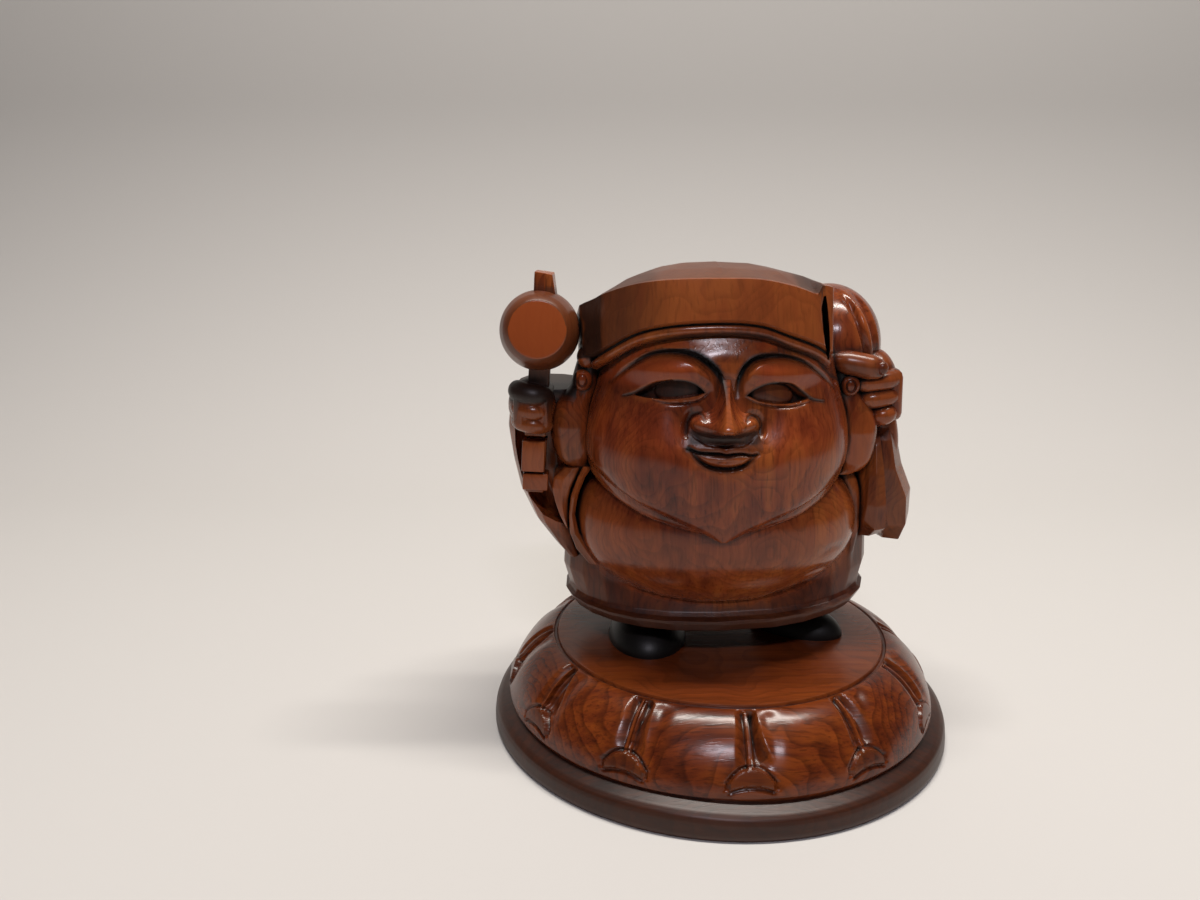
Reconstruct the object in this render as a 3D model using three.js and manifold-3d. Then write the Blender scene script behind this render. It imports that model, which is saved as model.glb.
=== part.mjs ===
// A carved wooden figure of the lucky god with his mallet and sack, on a round carved base.
// Millimetres, +Z up, the front faces -Y. The origin is the middle of the base's underside.
// The figure's own forms are laid out in hundredths of its height, X to its left hand,
// Y to its back, Z up from its soles, and are brought to size at the end.
import * as THREE from "three";
import { mergeVertices } from "three/addons/utils/BufferGeometryUtils.js";
import Module from "manifold-3d";

// The round base
const baseRadius = 90;
const baseHeight = 35.4;
const topRadius = 64.2;
const topGrooveWidth = 1.8;
const topGrooveDepth = 1.3;
const lipEdgeHeight = 7.2;
const lipEdgeRound = 1.2;
const lipSlopeWidth = 5.8;
const lipSlopeRise = 5.2;
const stemCount = 12;
const stemTurn = 1.5;
const stemWidth = 2.2;
const stemRise = 1.1;
const valleyWidth = 3.6;
const valleyDepth = 2.2;
const crescentWidth = 14.5;
const crescentHeight = 7.6;
const crescentRise = 1.9;

// The figure
const figureHeight = 145;
const figureShift = -5;

const wasm = await Module();
wasm.setup();

// A closed geometry as a solid that can be joined and cut.
function solid(geometry) {
  geometry.deleteAttribute("normal");
  geometry.deleteAttribute("uv");
  const merged = mergeVertices(geometry, 1e-4);
  return new wasm.Manifold(
    new wasm.Mesh({
      numProp: 3,
      vertProperties: merged.attributes.position.array,
      triVerts: new Uint32Array(merged.index.array),
    }),
  );
}

// A solid as a flat-shaded geometry again.
function geometryOf(body) {
  const mesh = body.getMesh();
  const points = new Float32Array(mesh.numVert * 3);
  for (let i = 0; i < mesh.numVert; i++) {
    const start = i * mesh.numProp;
    points.set(mesh.vertProperties.subarray(start, start + 3), i * 3);
  }
  const indexed = new THREE.BufferGeometry();
  indexed.setAttribute("position", new THREE.BufferAttribute(points, 3));
  indexed.setIndex(new THREE.BufferAttribute(mesh.triVerts, 1));
  return indexed;
}

const joined = (bodies) => bodies.reduce((whole, body) => whole.add(body));

// A smooth value through a few pairs of place and value.
function follow(pairs) {
  const last = pairs.length - 1;
  const slope = (i) => {
    const [x0, y0] = pairs[Math.max(i - 1, 0)];
    const [x1, y1] = pairs[Math.min(i + 1, last)];
    return (y1 - y0) / (x1 - x0);
  };
  return (place) => {
    let i = 0;
    while (i < last - 1 && place > pairs[i + 1][0]) i++;
    const [x0, y0] = pairs[i];
    const [x1, y1] = pairs[i + 1];
    const width = x1 - x0;
    const t = THREE.MathUtils.clamp((place - x0) / width, 0, 1);
    const back = 1 - t;
    return (
      y0 * (1 + 2 * t) * back * back +
      y1 * (3 - 2 * t) * t * t +
      slope(i) * width * t * back * back -
      slope(i + 1) * width * t * t * back
    );
  };
}

const bump = (distance, width) => Math.exp(-((distance / width) ** 2));
const signedPower = (value, power) => Math.sign(value) * Math.abs(value) ** power;

// A closed form of rings, one at each height, from a pole at the first to a pole at the last.
// ring(height, angle) gives x and y, and a height of its own if it has one, with angle 0
// at +X and a quarter turn at +Y.
// frontShare under 1 crowds the ring's points to the front.
function lofted(around, heights, ring, frontShare = 1) {
  const rows = heights.length + 1;
  const geometry = new THREE.SphereGeometry(1, around, rows);
  const { position, uv } = geometry.attributes;
  const first = heights[0];
  const last = heights[heights.length - 1];
  for (let i = 0; i < position.count; i++) {
    const row = Math.round(uv.getY(i) * rows);
    if (row === 0 || row === rows) {
      const height = row === 0 ? first : last;
      const [nearX, nearY, nearZ = height] = ring(height, -Math.PI / 2);
      const [farX, farY, farZ = height] = ring(height, Math.PI / 2);
      position.setXYZ(i, (nearX + farX) / 2, (nearY + farY) / 2, (nearZ + farZ) / 2);
      continue;
    }
    const height = heights[row - 1];
    const turn = 2 * uv.getX(i) - 1;
    const crowded = turn * (frontShare + (1 - frontShare) * Math.abs(turn));
    const [x, y, z = height] = ring(height, -Math.PI / 2 + Math.PI * crowded);
    position.setXYZ(i, x, y, z);
  }
  return geometry;
}

// Even heights from low to high.
const heightsFrom = (low, high, count) =>
  Array.from({ length: count }, (_, i) => low + ((high - low) * i) / (count - 1));

// An ellipsoid, with an optional change of its points.
function ball(centre, radii, across = 14, up = 9, change = null) {
  const geometry = new THREE.SphereGeometry(1, across, up);
  geometry.rotateX(Math.PI / 2);
  if (change) {
    const { position } = geometry.attributes;
    const point = new THREE.Vector3();
    for (let i = 0; i < position.count; i++) {
      change(point.fromBufferAttribute(position, i));
      position.setXYZ(i, point.x, point.y, point.z);
    }
  }
  geometry.scale(...radii);
  return geometry.translate(...centre);
}

// A flat outline of x and z points, from the front face at y to a depth behind it.
function slab(points, front, depth) {
  const shape = new THREE.Shape(points.map(([x, z]) => new THREE.Vector2(x, z)));
  const geometry = new THREE.ExtrudeGeometry(shape, { depth, bevelEnabled: false });
  geometry.rotateX(Math.PI / 2);
  return geometry.translate(0, front + depth, 0);
}

// The round base: a lip, a cushioned dome cut into panels, and a flat top in a groove.
const domeTopRadius = topRadius + topGrooveWidth;
const domeFootRadius = baseRadius - lipSlopeWidth;
const domeTop = baseHeight - topGrooveDepth / 2;
const domeFoot = lipEdgeHeight + lipSlopeRise;
const domeFullness = 1.6;
const domePoint = (share) => {
  const angle = (share * Math.PI) / 2;
  const out = Math.sin(angle) ** (2 / domeFullness);
  const up = Math.cos(angle) ** (2 / domeFullness);
  return new THREE.Vector2(
    domeTopRadius + (domeFootRadius - domeTopRadius) * out,
    domeFoot + (domeTop - domeFoot) * up,
  );
};
const domeShares = [0, 0.16, 0.34, 0.52, 0.76, 1];
const stemStart = 0.06;
const stemEnd = 0.68;
const crescentMiddle = 0.76;
const motifPitch = (2 * Math.PI) / stemCount;

// Steps of one panel, as shares from one stem's middle to the next.
const panelSteps = [0, 0.08, 0.3, 0.7, 0.92];

function baseBody() {
  const profile = [
    new THREE.Vector2(0, 0),
    new THREE.Vector2(baseRadius, 0),
    new THREE.Vector2(baseRadius, lipEdgeHeight - lipEdgeRound),
    new THREE.Vector2(baseRadius - lipEdgeRound, lipEdgeHeight + lipEdgeRound),
    ...domeShares.map((share) => domePoint(share)).reverse(),
    new THREE.Vector2(topRadius + topGrooveWidth / 2, baseHeight - topGrooveDepth),
    new THREE.Vector2(topRadius, baseHeight),
    new THREE.Vector2(0, baseHeight),
  ];
  const steps = panelSteps.length;
  const geometry = new THREE.LatheGeometry(profile, stemCount * steps);
  geometry.rotateX(Math.PI / 2);
  const { position, uv } = geometry.attributes;
  for (let i = 0; i < position.count; i++) {
    const radius = Math.hypot(position.getX(i), position.getY(i));
    const height = position.getZ(i);
    const step = Math.round(uv.getX(i) * stemCount * steps);
    const share = panelSteps[step % steps];
    const turns = (Math.floor(step / steps) + share) * motifPitch;
    const angle = turns - Math.PI / 2 + THREE.MathUtils.degToRad(stemTurn);
    const onDome = radius > domeTopRadius && height > domeFoot;
    const away = Math.min(share, 1 - share) * motifPitch * radius;
    const fade = onDome ? bump(height - (domeTop + domeFoot) / 2, domeTop - domeFoot) : 0;
    const cut = valleyDepth * bump(away, valleyWidth) * fade;
    position.setXYZ(
      i,
      (radius - cut) * Math.cos(angle),
      (radius - cut) * Math.sin(angle),
      height - cut * 0.5 * fade,
    );
  }
  return solid(geometry);
}

// A raised stem that follows the dome, and the crescent at its foot.
function baseStem() {
  const outer = heightsFrom(stemStart, stemEnd, 5).map((share) => domePoint(share));
  const lift = (point, rise) => {
    const along = Math.atan2(point.y - domeFoot, point.x - topRadius + valleyWidth);
    return new THREE.Vector2(
      point.x + rise * Math.cos(along),
      point.y + rise * Math.sin(along),
    );
  };
  const raised = outer.map((point) => lift(point, stemRise - valleyDepth / 2));
  const sunk = outer.map((point) => lift(point, -2 * valleyDepth)).reverse();
  const shape = new THREE.Shape([...raised, ...sunk]);
  const rib = new THREE.ExtrudeGeometry(shape, { depth: stemWidth, bevelEnabled: false });
  rib.rotateX(Math.PI / 2);
  rib.translate(0, stemWidth / 2, 0);
  return solid(rib);
}

function baseCrescent() {
  const half = crescentWidth / 2;
  const shape = new THREE.Shape();
  shape.moveTo(-half, -crescentHeight / 2);
  shape.quadraticCurveTo(-half, crescentHeight * 0.38, -stemWidth / 2, crescentHeight / 2);
  shape.lineTo(stemWidth / 2, crescentHeight / 2);
  shape.quadraticCurveTo(half, crescentHeight * 0.38, half, -crescentHeight / 2);
  shape.quadraticCurveTo(0, crescentHeight * 0.35, -half, -crescentHeight / 2);
  const thickness = crescentRise + 2 * valleyDepth;
  const plate = new THREE.ExtrudeGeometry(shape, {
    depth: thickness,
    bevelEnabled: false,
    curveSegments: 2,
  });
  // The plate lies on the dome's slope, its stem side up and its face outward, and it is
  // thick enough to reach below the valley's floor.
  const middle = domePoint(crescentMiddle);
  const above = domePoint(crescentMiddle - 0.1);
  const upSlope = new THREE.Vector3(above.x - middle.x, 0, above.y - middle.y).normalize();
  const across = new THREE.Vector3(0, 1, 0);
  const outward = new THREE.Vector3().crossVectors(across, upSlope);
  const lie = new THREE.Matrix4().makeBasis(across, upSlope, outward);
  plate.translate(0, 0, crescentRise - thickness).applyMatrix4(lie);
  return solid(plate.translate(middle.x, 0, middle.y));
}

function makeBase() {
  let body = baseBody();
  const stem = baseStem().add(baseCrescent());
  for (let i = 0; i < stemCount; i++) {
    const degrees = (360 / stemCount) * i - 90 + stemTurn;
    body = body.add(stem.rotate([0, 0, degrees]));
  }
  return body;
}

// The head: a broad mask, widest at the cheeks, that runs down to a pointed chin.
const faceHalfWidth = follow([
  [36.2, 0.8], [38.9, 7.3], [41.5, 14], [44.3, 20.6], [47.5, 26.8], [50, 30.4],
  [53, 32.6], [58.8, 33.2], [63.9, 32.6], [70.3, 31], [76, 29.4], [84, 28], [92, 22],
]);
const faceFront = follow([
  [36.2, -33.2], [42, -34.6], [50, -35.4], [57, -35], [64, -33.6], [72, -31.6],
  [80, -31.2], [86, -30.5], [92, -24],
]);
const faceMiddle = follow([
  [36.2, -32], [40, -27], [44, -22], [47, -17], [50, -12], [58, -9], [70, -6], [92, -4],
]);
const headBack = follow([
  [36.2, -30], [44, -10], [50, 6], [58, 18], [70, 23], [80, 22], [92, 14],
]);

function faceRing(height, angle) {
  const roundness = 0.6 + 0.28 * THREE.MathUtils.smoothstep(height, 40, 54);
  const across = signedPower(Math.cos(angle), roundness);
  const deep = signedPower(Math.sin(angle), roundness);
  const middle = faceMiddle(height);
  const x = faceHalfWidth(height) * across;
  const reach = deep < 0 ? middle - faceFront(height) : headBack(height) - middle;
  let y = middle + reach * deep;
  if (deep < 0) {
    const side = Math.abs(x);
    const cheek = 1.6 * bump(side - 17, 9) * bump(height - 58, 10);
    const keel = 1.6 * bump(side, 8) * bump(height - 42, 8);
    const besideNose = 1.2 * bump(side - 9, 4) * bump(height - 65, 6);
    y += besideNose - cheek - keel * 0.4;
  }
  return [x, y];
}

function head() {
  const heights = [36.2, 38.6, 42, 45.6, 49, 53, 58, 63, 68, 73, 78, 83, 88];
  return solid(lofted(26, heights, faceRing, 0.55));
}

// The roll of the double chin that shows below the jaw.
const chinRollDrop = follow([[35.8, 0.4], [38, 2.2], [42, 3.4], [52, 3]]);
function chinRoll() {
  const ring = (height, angle) => {
    const [x, y] = faceRing(height + chinRollDrop(height), angle);
    return [x, y + 3];
  };
  return solid(lofted(20, [35.8, 37.4, 39.6, 42.4, 45.6, 49, 52.5], ring, 0.6));
}

function nose() {
  const half = follow([[61.6, 3], [64, 4.4], [67, 3.4], [71, 2.2], [76, 2.6], [80, 3.6]]);
  const front = follow([[61.6, 37.6], [64, 40.2], [67, 38.6], [71, 35.2], [76, 32], [80, 30.6]]);
  const root = 28;
  const ring = (height, angle) => [
    half(height) * signedPower(Math.cos(angle), 0.8),
    -root + (front(height) - root) * signedPower(Math.sin(angle), 0.8),
  ];
  const bridge = lofted(10, [61.6, 62.8, 64.4, 67, 70.5, 75, 80], ring);
  const wing = (side) => ball([side * 4.9, -34.6, 64.8], [3.1, 3.8, 3], 10, 6);
  return joined([solid(bridge), solid(wing(-1)), solid(wing(1))]);
}

// An almond between two arcs, as an outline of x and z points.
function almond(halfWidth, rise, fall, steps) {
  const arc = (height, t) => [halfWidth * (2 * t - 1), height * 4 * t * (1 - t)];
  const top = heightsFrom(0, 1, steps).map((t) => arc(rise, t));
  const bottom = heightsFrom(1, 0, steps).map((t) => arc(-fall, t));
  return [...top, ...bottom.slice(1, -1)];
}

// Each eye is a deep brow hollow, a lid that swells out of it, and a slit below the lid.
const eyePlace = [15.4, -28.6, 74];
const eyeTurn = THREE.MathUtils.degToRad(25);
function eye(face, side) {
  const [x, y, z] = eyePlace;
  const set = (geometry) => solid(geometry.rotateZ(side * eyeTurn).translate(side * x, y, z));
  const socket = ball([-side * 1.2, -5.6, 1.2], [15.6, 9.6, 7.2], 13, 7);
  const lid = ball([side * 0.2, 3.6, -1], [12.2, 5, 5.9], 13, 7);
  const slit = slab(almond(9.6, 3.2, 2.4, 7), -10, 12);
  slit.rotateY(side * 0.05).translate(-side * 1.4, 0, -1.8);
  const eyeball = ball([-side * 1.4, 5.4, -1.4], [9.6, 4.6, 4.4], 9, 4);
  return face
    .subtract(set(socket))
    .add(set(lid))
    .subtract(set(slit))
    .add(set(eyeball));
}

// The mouth is a smiling crescent, with the lower lip full in it.
function mouth(face) {
  const crescent = slab(almond(8.6, -1.4, 4.6, 7), -40, 6.2);
  crescent.translate(-0.6, 0, 58.6);
  const lowerLip = ball([-0.6, -33.4, 55.9], [6, 2.6, 1.4], 12, 6);
  return face.subtract(solid(crescent)).add(solid(lowerLip));
}

// A long ear with a plump lobe.
function ear(side) {
  const upper = ball([side * 33.4, -8, 67], [3.8, 6, 12.5], 8, 6);
  const lobe = ball([side * 36.6, -10, 55], [5.4, 6.4, 9.2], 11, 7);
  const hollow = ball([side * 33.8, -14.6, 70.5], [1.9, 2.6, 2.8], 6, 4);
  return joined([solid(upper), solid(lobe)]).subtract(solid(hollow));
}

// The cap, laid out about its own upright axis and then tipped back: a thin roll on the
// forehead, a tall plain band and a low crown.
const capTilt = THREE.MathUtils.degToRad(-19);
const capHeart = [-1, 0, 73.3];
const capMiddle = -4;
const capBack = 28;
const capRollTop = 2.5;
const capBandTop = 13;
const capHalfWidth = follow([
  [0, 30.4], [1.2, 31.4], [capRollTop, 30.8], [2.9, 32.4], [capBandTop, 33.4],
  [15, 31.5], [19, 25.5], [22.5, 16], [24.4, 6],
]);
const capFront = follow([
  [0, 33.4], [1.2, 34.6], [capRollTop, 34.2], [2.9, 35.4], [capBandTop, 36.2],
  [15, 34], [19, 27], [22.5, 18], [24.4, 9],
]);
function cap() {
  const ring = (height, angle) => {
    const roundness = height > capBandTop ? 0.9 : 0.76;
    const deep = signedPower(Math.sin(angle), roundness);
    const reach = deep < 0 ? capFront(height) + capMiddle : capBack - capMiddle;
    const shrink = height > capBandTop ? capHalfWidth(height) / capHalfWidth(capBandTop) : 1;
    return [
      capHalfWidth(height) * signedPower(Math.cos(angle), roundness),
      capMiddle + reach * deep * (deep < 0 ? 1 : shrink),
    ];
  };
  const levels = [0, 1.2, capRollTop, 2.9, capBandTop, 15, 18, 21, 23.2, 24.4];
  const shell = lofted(24, levels, ring, 0.75);
  shell.rotateX(capTilt).translate(...capHeart);
  const groove = new THREE.BoxGeometry(1.6, 5, 13);
  groove.translate(26.6, -29.5, 8.6).rotateX(capTilt).translate(...capHeart);
  return solid(shell).subtract(solid(groove));
}

// The belly and the robe that opens round it.
function belly() {
  return solid(ball([0.6, -7, 35.4], [36.4, 24.6, 23], 20, 10));
}

// The robe's lower edge swings up to both sides, and its hem stands out below the belly.
const robeHalf = follow([
  [8.4, 30], [9.4, 37.4], [12.6, 41.2], [13.6, 40], [20, 41.6], [30, 40], [44, 36], [62, 30],
]);
const robeFront = follow([
  [8.4, 16], [9.4, 22.6], [12.6, 24], [13.6, 22], [20, 19], [30, 18], [44, 16], [62, 12],
]);
const robeBack = follow([
  [8.4, 20], [9.4, 27], [12.6, 28.6], [13.6, 27.4], [20, 28], [30, 28], [44, 27], [62, 22],
]);
const hemLowest = -9;
const hemSwing = 0.0024;
function robe() {
  const ring = (height, angle) => {
    const deep = signedPower(Math.sin(angle), 0.9);
    const reach = deep < 0 ? robeFront(height) : robeBack(height);
    const x = 0.6 + robeHalf(height) * signedPower(Math.cos(angle), 0.8);
    const swing = Math.max(0, 1 - (height - 8) / 30);
    return [x, reach * deep, height + hemSwing * (x - hemLowest) ** 2 * swing];
  };
  return solid(lofted(22, [8.4, 9.4, 12.6, 13.6, 20, 30, 44, 62], ring, 0.8));
}

// The robe's front edge, a rolled band from below the ear down beside the belly.
function collar(side) {
  const path = new THREE.CatmullRomCurve3(
    [
      [29.5, -4, 53], [36, -9, 44], [37.4, -10, 34], [36.6, -12, 24], [33, -16, 17],
    ].map(([x, y, z]) => new THREE.Vector3(side * x, y, z)),
  );
  const section = new THREE.Shape().absellipse(0, 0, 2.4, 2.4, 0, 2 * Math.PI);
  return solid(
    new THREE.ExtrudeGeometry(section, {
      extrudePath: path,
      steps: 7,
      curveSegments: 3,
    }),
  );
}

// Feet in shoes, flat below, and the short legs that carry the robe.
const legHeight = 12;
const legLevel = 7.5;
const legBehind = 4;
function foot(x, y, halfWidth, halfLength, height, degrees) {
  const turn = THREE.MathUtils.degToRad(degrees);
  const shoe = ball([0, 0, 0], [halfWidth, halfLength, height], 10, 6, (point) => {
    point.z = Math.max(point.z, 0);
  });
  shoe.rotateZ(turn).translate(x, y, 0);
  const leg = new THREE.CylinderGeometry(halfWidth * 0.9, halfWidth * 0.8, legHeight, 8);
  leg.rotateX(Math.PI / 2).translate(x, y + legBehind, legLevel);
  return joined([solid(shoe), solid(leg)]);
}

// The mallet: a barrel that faces forward on a square handle.
const malletCentre = [-44, -13, 84];
const malletNod = THREE.MathUtils.degToRad(-8);
const handleSize = [5.4, 5.2, 52];
const handleMiddle = [-44, -14, 72.6];
const handleLean = THREE.MathUtils.degToRad(4.5);
function mallet() {
  const profile = [
    [0, -10], [6.9, -10], [8.9, -6.5], [9.8, 0], [8.9, 6.5], [6.9, 10], [0, 10],
  ].map(([radius, along]) => new THREE.Vector2(radius, along));
  const barrel = new THREE.LatheGeometry(profile, 18);
  barrel.rotateX(malletNod).translate(...malletCentre);
  const handle = new THREE.BoxGeometry(...handleSize);
  handle.rotateY(handleLean).translate(...handleMiddle);
  return joined([solid(barrel), solid(handle)]);
}

// A fist: a palm with fingers laid across it, one above the other.
function fist(centre, size, fingers) {
  const [x, y, z] = centre;
  const [halfWidth, halfDepth, halfHeight] = size;
  const step = (2 * halfHeight) / fingers;
  const rounded = (point) => {
    point.x = signedPower(point.x, 0.7);
    point.y = signedPower(point.y, 0.8);
  };
  const rolls = heightsFrom(0, fingers - 1, fingers).map((i) => {
    const level = z - halfHeight + step * (i + 0.5);
    return solid(ball([x, y, level], [halfWidth, halfDepth, step * 0.62], 9, 5, rounded));
  });
  const palm = ball([x, y + 1.4, z], [halfWidth * 0.98, halfDepth * 0.9, halfHeight], 8, 6);
  return joined([solid(palm), ...rolls]);
}

const sleeveHalfDepth = 13;

// The arm and sleeve that hold up the mallet: a pouch of cloth, hollow to the front.
function malletSleeve() {
  const outside = follow([
    [24.6, -38], [32, -45.2], [41, -50.1], [50.5, -52.4], [57, -53.4], [65, -52.7], [71, -50],
  ]);
  const ring = (height, angle) => {
    const left = outside(height);
    const right = -34;
    const middle = (left + right) / 2;
    return [
      middle + ((right - left) / 2) * signedPower(Math.cos(angle), 0.8),
      1 + sleeveHalfDepth * signedPower(Math.sin(angle), 0.8),
    ];
  };
  const cloth = solid(lofted(14, [24.6, 28, 34, 42, 50, 58, 66, 71], ring));
  const hollow = solid(ball([-43.4, -15, 50], [8.6, 15, 16.5], 12, 7));
  return cloth.subtract(hollow);
}

// The sleeve of the arm that holds the sack, hanging in pleats from the wrist.
function sackSleeve() {
  const outside = follow([[28.6, 45], [31, 51.6], [39.5, 53.2], [44, 52.2], [58, 44]]);
  const pleats = 8;
  const ring = (height, angle) => {
    const right = outside(height);
    const left = 24;
    const middle = (left + right) / 2;
    const turn = ((angle / (2 * Math.PI)) * pleats + pleats) % 1;
    const pleat = 1 - 0.12 * turn;
    const rise = 2.4 * turn * THREE.MathUtils.smoothstep(-height, -34, -28);
    return [
      middle + ((right - left) / 2) * pleat * Math.cos(angle),
      -1 + sleeveHalfDepth * pleat * Math.sin(angle),
      height + rise,
    ];
  };
  return solid(lofted(24, [28.6, 31, 36, 42, 58], ring));
}

// The sack over his shoulder and down his back, gathered at the grip.
function sack() {
  const gathers = 9;
  const gathered = (point) => {
    const angle = Math.atan2(point.x, point.y);
    const share = 1 + 0.025 * Math.cos(gathers * angle) * (1 - point.z * point.z);
    point.x *= share;
    point.y *= share;
  };
  const body = solid(ball([10, 22, 54], [33, 21, 34], 2 * gathers, 9, gathered));
  const neck = solid(ball([31, 6, 78], [13.4, 14, 16], 12, 7));
  return joined([body, neck]);
}

function makeFigure() {
  let face = joined([head(), nose()]);
  face = eye(face, -1);
  face = eye(face, 1);
  face = mouth(face);
  const pieces = [
    robe(),
    belly(),
    collar(-1),
    collar(1),
    chinRoll(),
    face,
    ear(-1),
    ear(1),
    cap(),
    sack(),
    malletSleeve(),
    mallet(),
    fist([-46, -14, 63.5], [5.6, 7, 6], 3),
    sackSleeve(),
    fist([39.4, -4, 68.2], [7, 8, 10.2], 4),
    foot(-16.4, -6, 10.4, 15, 8, 0),
    foot(25, -1, 7.6, 13, 7, 62),
  ];
  return joined(pieces);
}

const base = new THREE.Mesh(
  geometryOf(makeBase()),
  new THREE.MeshStandardMaterial({ color: 0x5a2412, roughness: 0.35, metalness: 0 }),
);
base.name = "round_base";

const carved = geometryOf(makeFigure());
const hundredth = figureHeight / 100;
carved.scale(hundredth, hundredth, hundredth);
const figure = new THREE.Mesh(
  carved,
  new THREE.MeshStandardMaterial({ color: 0x6e2a14, roughness: 0.32, metalness: 0 }),
);
figure.name = "daikoku_figure";
figure.position.set(figureShift, 0, baseHeight);

const ornament = new THREE.Group();
ornament.name = "ornament";
ornament.add(base, figure);

export default ornament;
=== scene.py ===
import math
from functools import partial

import bpy
import numpy as np
from bpy.props import FloatProperty, FloatVectorProperty, IntProperty, PointerProperty
from mathutils.bvhtree import BVHTree
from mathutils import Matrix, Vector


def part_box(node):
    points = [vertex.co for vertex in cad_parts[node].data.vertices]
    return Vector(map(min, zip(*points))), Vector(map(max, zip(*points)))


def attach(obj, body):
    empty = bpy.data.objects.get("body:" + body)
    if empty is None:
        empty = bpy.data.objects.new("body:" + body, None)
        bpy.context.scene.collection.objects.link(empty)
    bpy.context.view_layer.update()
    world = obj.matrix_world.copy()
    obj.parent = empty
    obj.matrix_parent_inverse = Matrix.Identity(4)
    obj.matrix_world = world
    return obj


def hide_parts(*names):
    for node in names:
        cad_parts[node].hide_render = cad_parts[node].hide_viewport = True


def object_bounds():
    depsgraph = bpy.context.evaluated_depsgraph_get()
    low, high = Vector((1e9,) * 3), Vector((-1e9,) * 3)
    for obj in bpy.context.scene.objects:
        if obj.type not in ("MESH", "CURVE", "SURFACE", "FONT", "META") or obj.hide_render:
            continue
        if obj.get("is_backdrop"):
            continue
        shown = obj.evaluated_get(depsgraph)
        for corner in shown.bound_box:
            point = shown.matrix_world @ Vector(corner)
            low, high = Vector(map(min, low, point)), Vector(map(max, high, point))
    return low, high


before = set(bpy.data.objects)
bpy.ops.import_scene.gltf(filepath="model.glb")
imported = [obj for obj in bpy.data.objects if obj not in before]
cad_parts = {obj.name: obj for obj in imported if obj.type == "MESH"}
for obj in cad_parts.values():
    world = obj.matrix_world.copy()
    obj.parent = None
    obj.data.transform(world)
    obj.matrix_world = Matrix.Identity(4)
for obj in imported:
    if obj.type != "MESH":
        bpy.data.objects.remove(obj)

bl_info = {
    "name": "Carved daikoku figure",
    "version": (1, 0, 0),
    "blender": (4, 5, 0),
    "location": "3D View > Sidebar > Daikoku",
    "description": "A carved wooden lucky god with mallet and sack, on a round carved base",
    "category": "Object",
}

MM = 0.001
CAD_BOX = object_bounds()
FIGURE = "daikoku_figure"
BASE = "round_base"
FIGURE_LOW, FIGURE_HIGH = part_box(FIGURE)
BASE_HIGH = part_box(BASE)[1]

# The figure is carved in parts, about hundredths of its height, as its solid is: X to its
# left hand, Y to its back, Z up from its soles. Its top gives the scale, its sleeve the place.
TOP_PARTS = 100.45
SLEEVE_PARTS = 53.65
PART = (FIGURE_HIGH.z - FIGURE_LOW.z) / TOP_PARTS
FIGURE_AT = (FIGURE_LOW.x + SLEEVE_PARTS * PART, 0, BASE_HIGH.z)


# Objects and their points

def only(piece):
    """Selects one object and nothing else."""
    bpy.ops.object.select_all(action="DESELECT")
    piece.select_set(True)
    bpy.context.view_layer.objects.active = piece


def modified(piece, kind, **settings):
    """Adds a modifier and applies it."""
    modifier = piece.modifiers.new(kind.title(), kind)
    for key, value in settings.items():
        setattr(modifier, key, value)
    only(piece)
    bpy.ops.object.modifier_apply(modifier=modifier.name)
    return piece


def added(name, add, **settings):
    """A new object by one of Blender's own tools, with a name."""
    bpy.ops.object.select_all(action="DESELECT")
    add(**settings)
    bpy.context.object.name = name
    return bpy.context.object


def points_of(piece, kind="co"):
    """A mesh's points, or their normals, as rows of three numbers."""
    values = np.empty(len(piece.data.vertices) * 3, np.float32)
    piece.data.vertices.foreach_get(kind, values)
    return values.reshape(-1, 3).astype(float)


def normals_of(piece):
    return points_of(piece, "normal")


def move_points(piece, points):
    piece.data.vertices.foreach_set("co", np.asarray(points, np.float32).ravel())
    piece.data.update()
    return piece


def refined(piece, levels):
    """Divides every face, without rounding anything."""
    return modified(
        piece, "SUBSURF", subdivision_type="SIMPLE", levels=levels, render_levels=levels
    )


def softened(piece, rounds):
    """Rubs the edges down, as sandpaper does."""
    return modified(piece, "SMOOTH", factor=0.5, iterations=rounds)


def clay(name, across, up, levels=0):
    """A round lump of radius 1 to be pushed into shape, and its points."""
    sphere = bpy.ops.mesh.primitive_uv_sphere_add
    piece = added(name, sphere, segments=across, ring_count=up, radius=1)
    if levels:
        refined(piece, levels)
        points = points_of(piece)
        move_points(piece, points / np.linalg.norm(points, axis=1)[:, None])
    return piece, points_of(piece)


def on_lump(unit):
    """Each point's share of the way up a lump, and its angle round it."""
    share = 0.5 + np.arcsin(np.clip(unit[:, 2], -1, 1)) / math.pi
    return share, np.arctan2(unit[:, 1], unit[:, 0])


# Curves and cuts

def follow(pairs):
    """A smooth value through a few pairs of place and value, for arrays of places."""
    place, value = np.array(pairs, float).T
    last = len(place) - 1
    before = np.maximum(np.arange(last + 1) - 1, 0)
    after = np.minimum(np.arange(last + 1) + 1, last)
    slope = (value[after] - value[before]) / (place[after] - place[before])

    def at(where):
        i = np.clip(np.searchsorted(place, where, side="left") - 1, 0, last - 1)
        width = place[i + 1] - place[i]
        t = np.clip((where - place[i]) / width, 0, 1)
        back = 1 - t
        return (
            value[i] * (1 + 2 * t) * back * back
            + value[i + 1] * (3 - 2 * t) * t * t
            + slope[i] * width * t * back * back
            - slope[i + 1] * width * t * t * back
        )

    return at


def follow_all(rows):
    """One such value for each further number in the rows."""
    table = np.array(rows, float)
    return [follow(table[:, [0, k]]) for k in range(1, table.shape[1])]


def smooth_step(value, low, high):
    t = np.clip((value - low) / (high - low), 0, 1)
    return t * t * (3 - 2 * t)


def bump(distance, width):
    return np.exp(-((distance / width) ** 2))


def power(value, exponent):
    return np.sign(value) * np.abs(value) ** exponent


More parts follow.
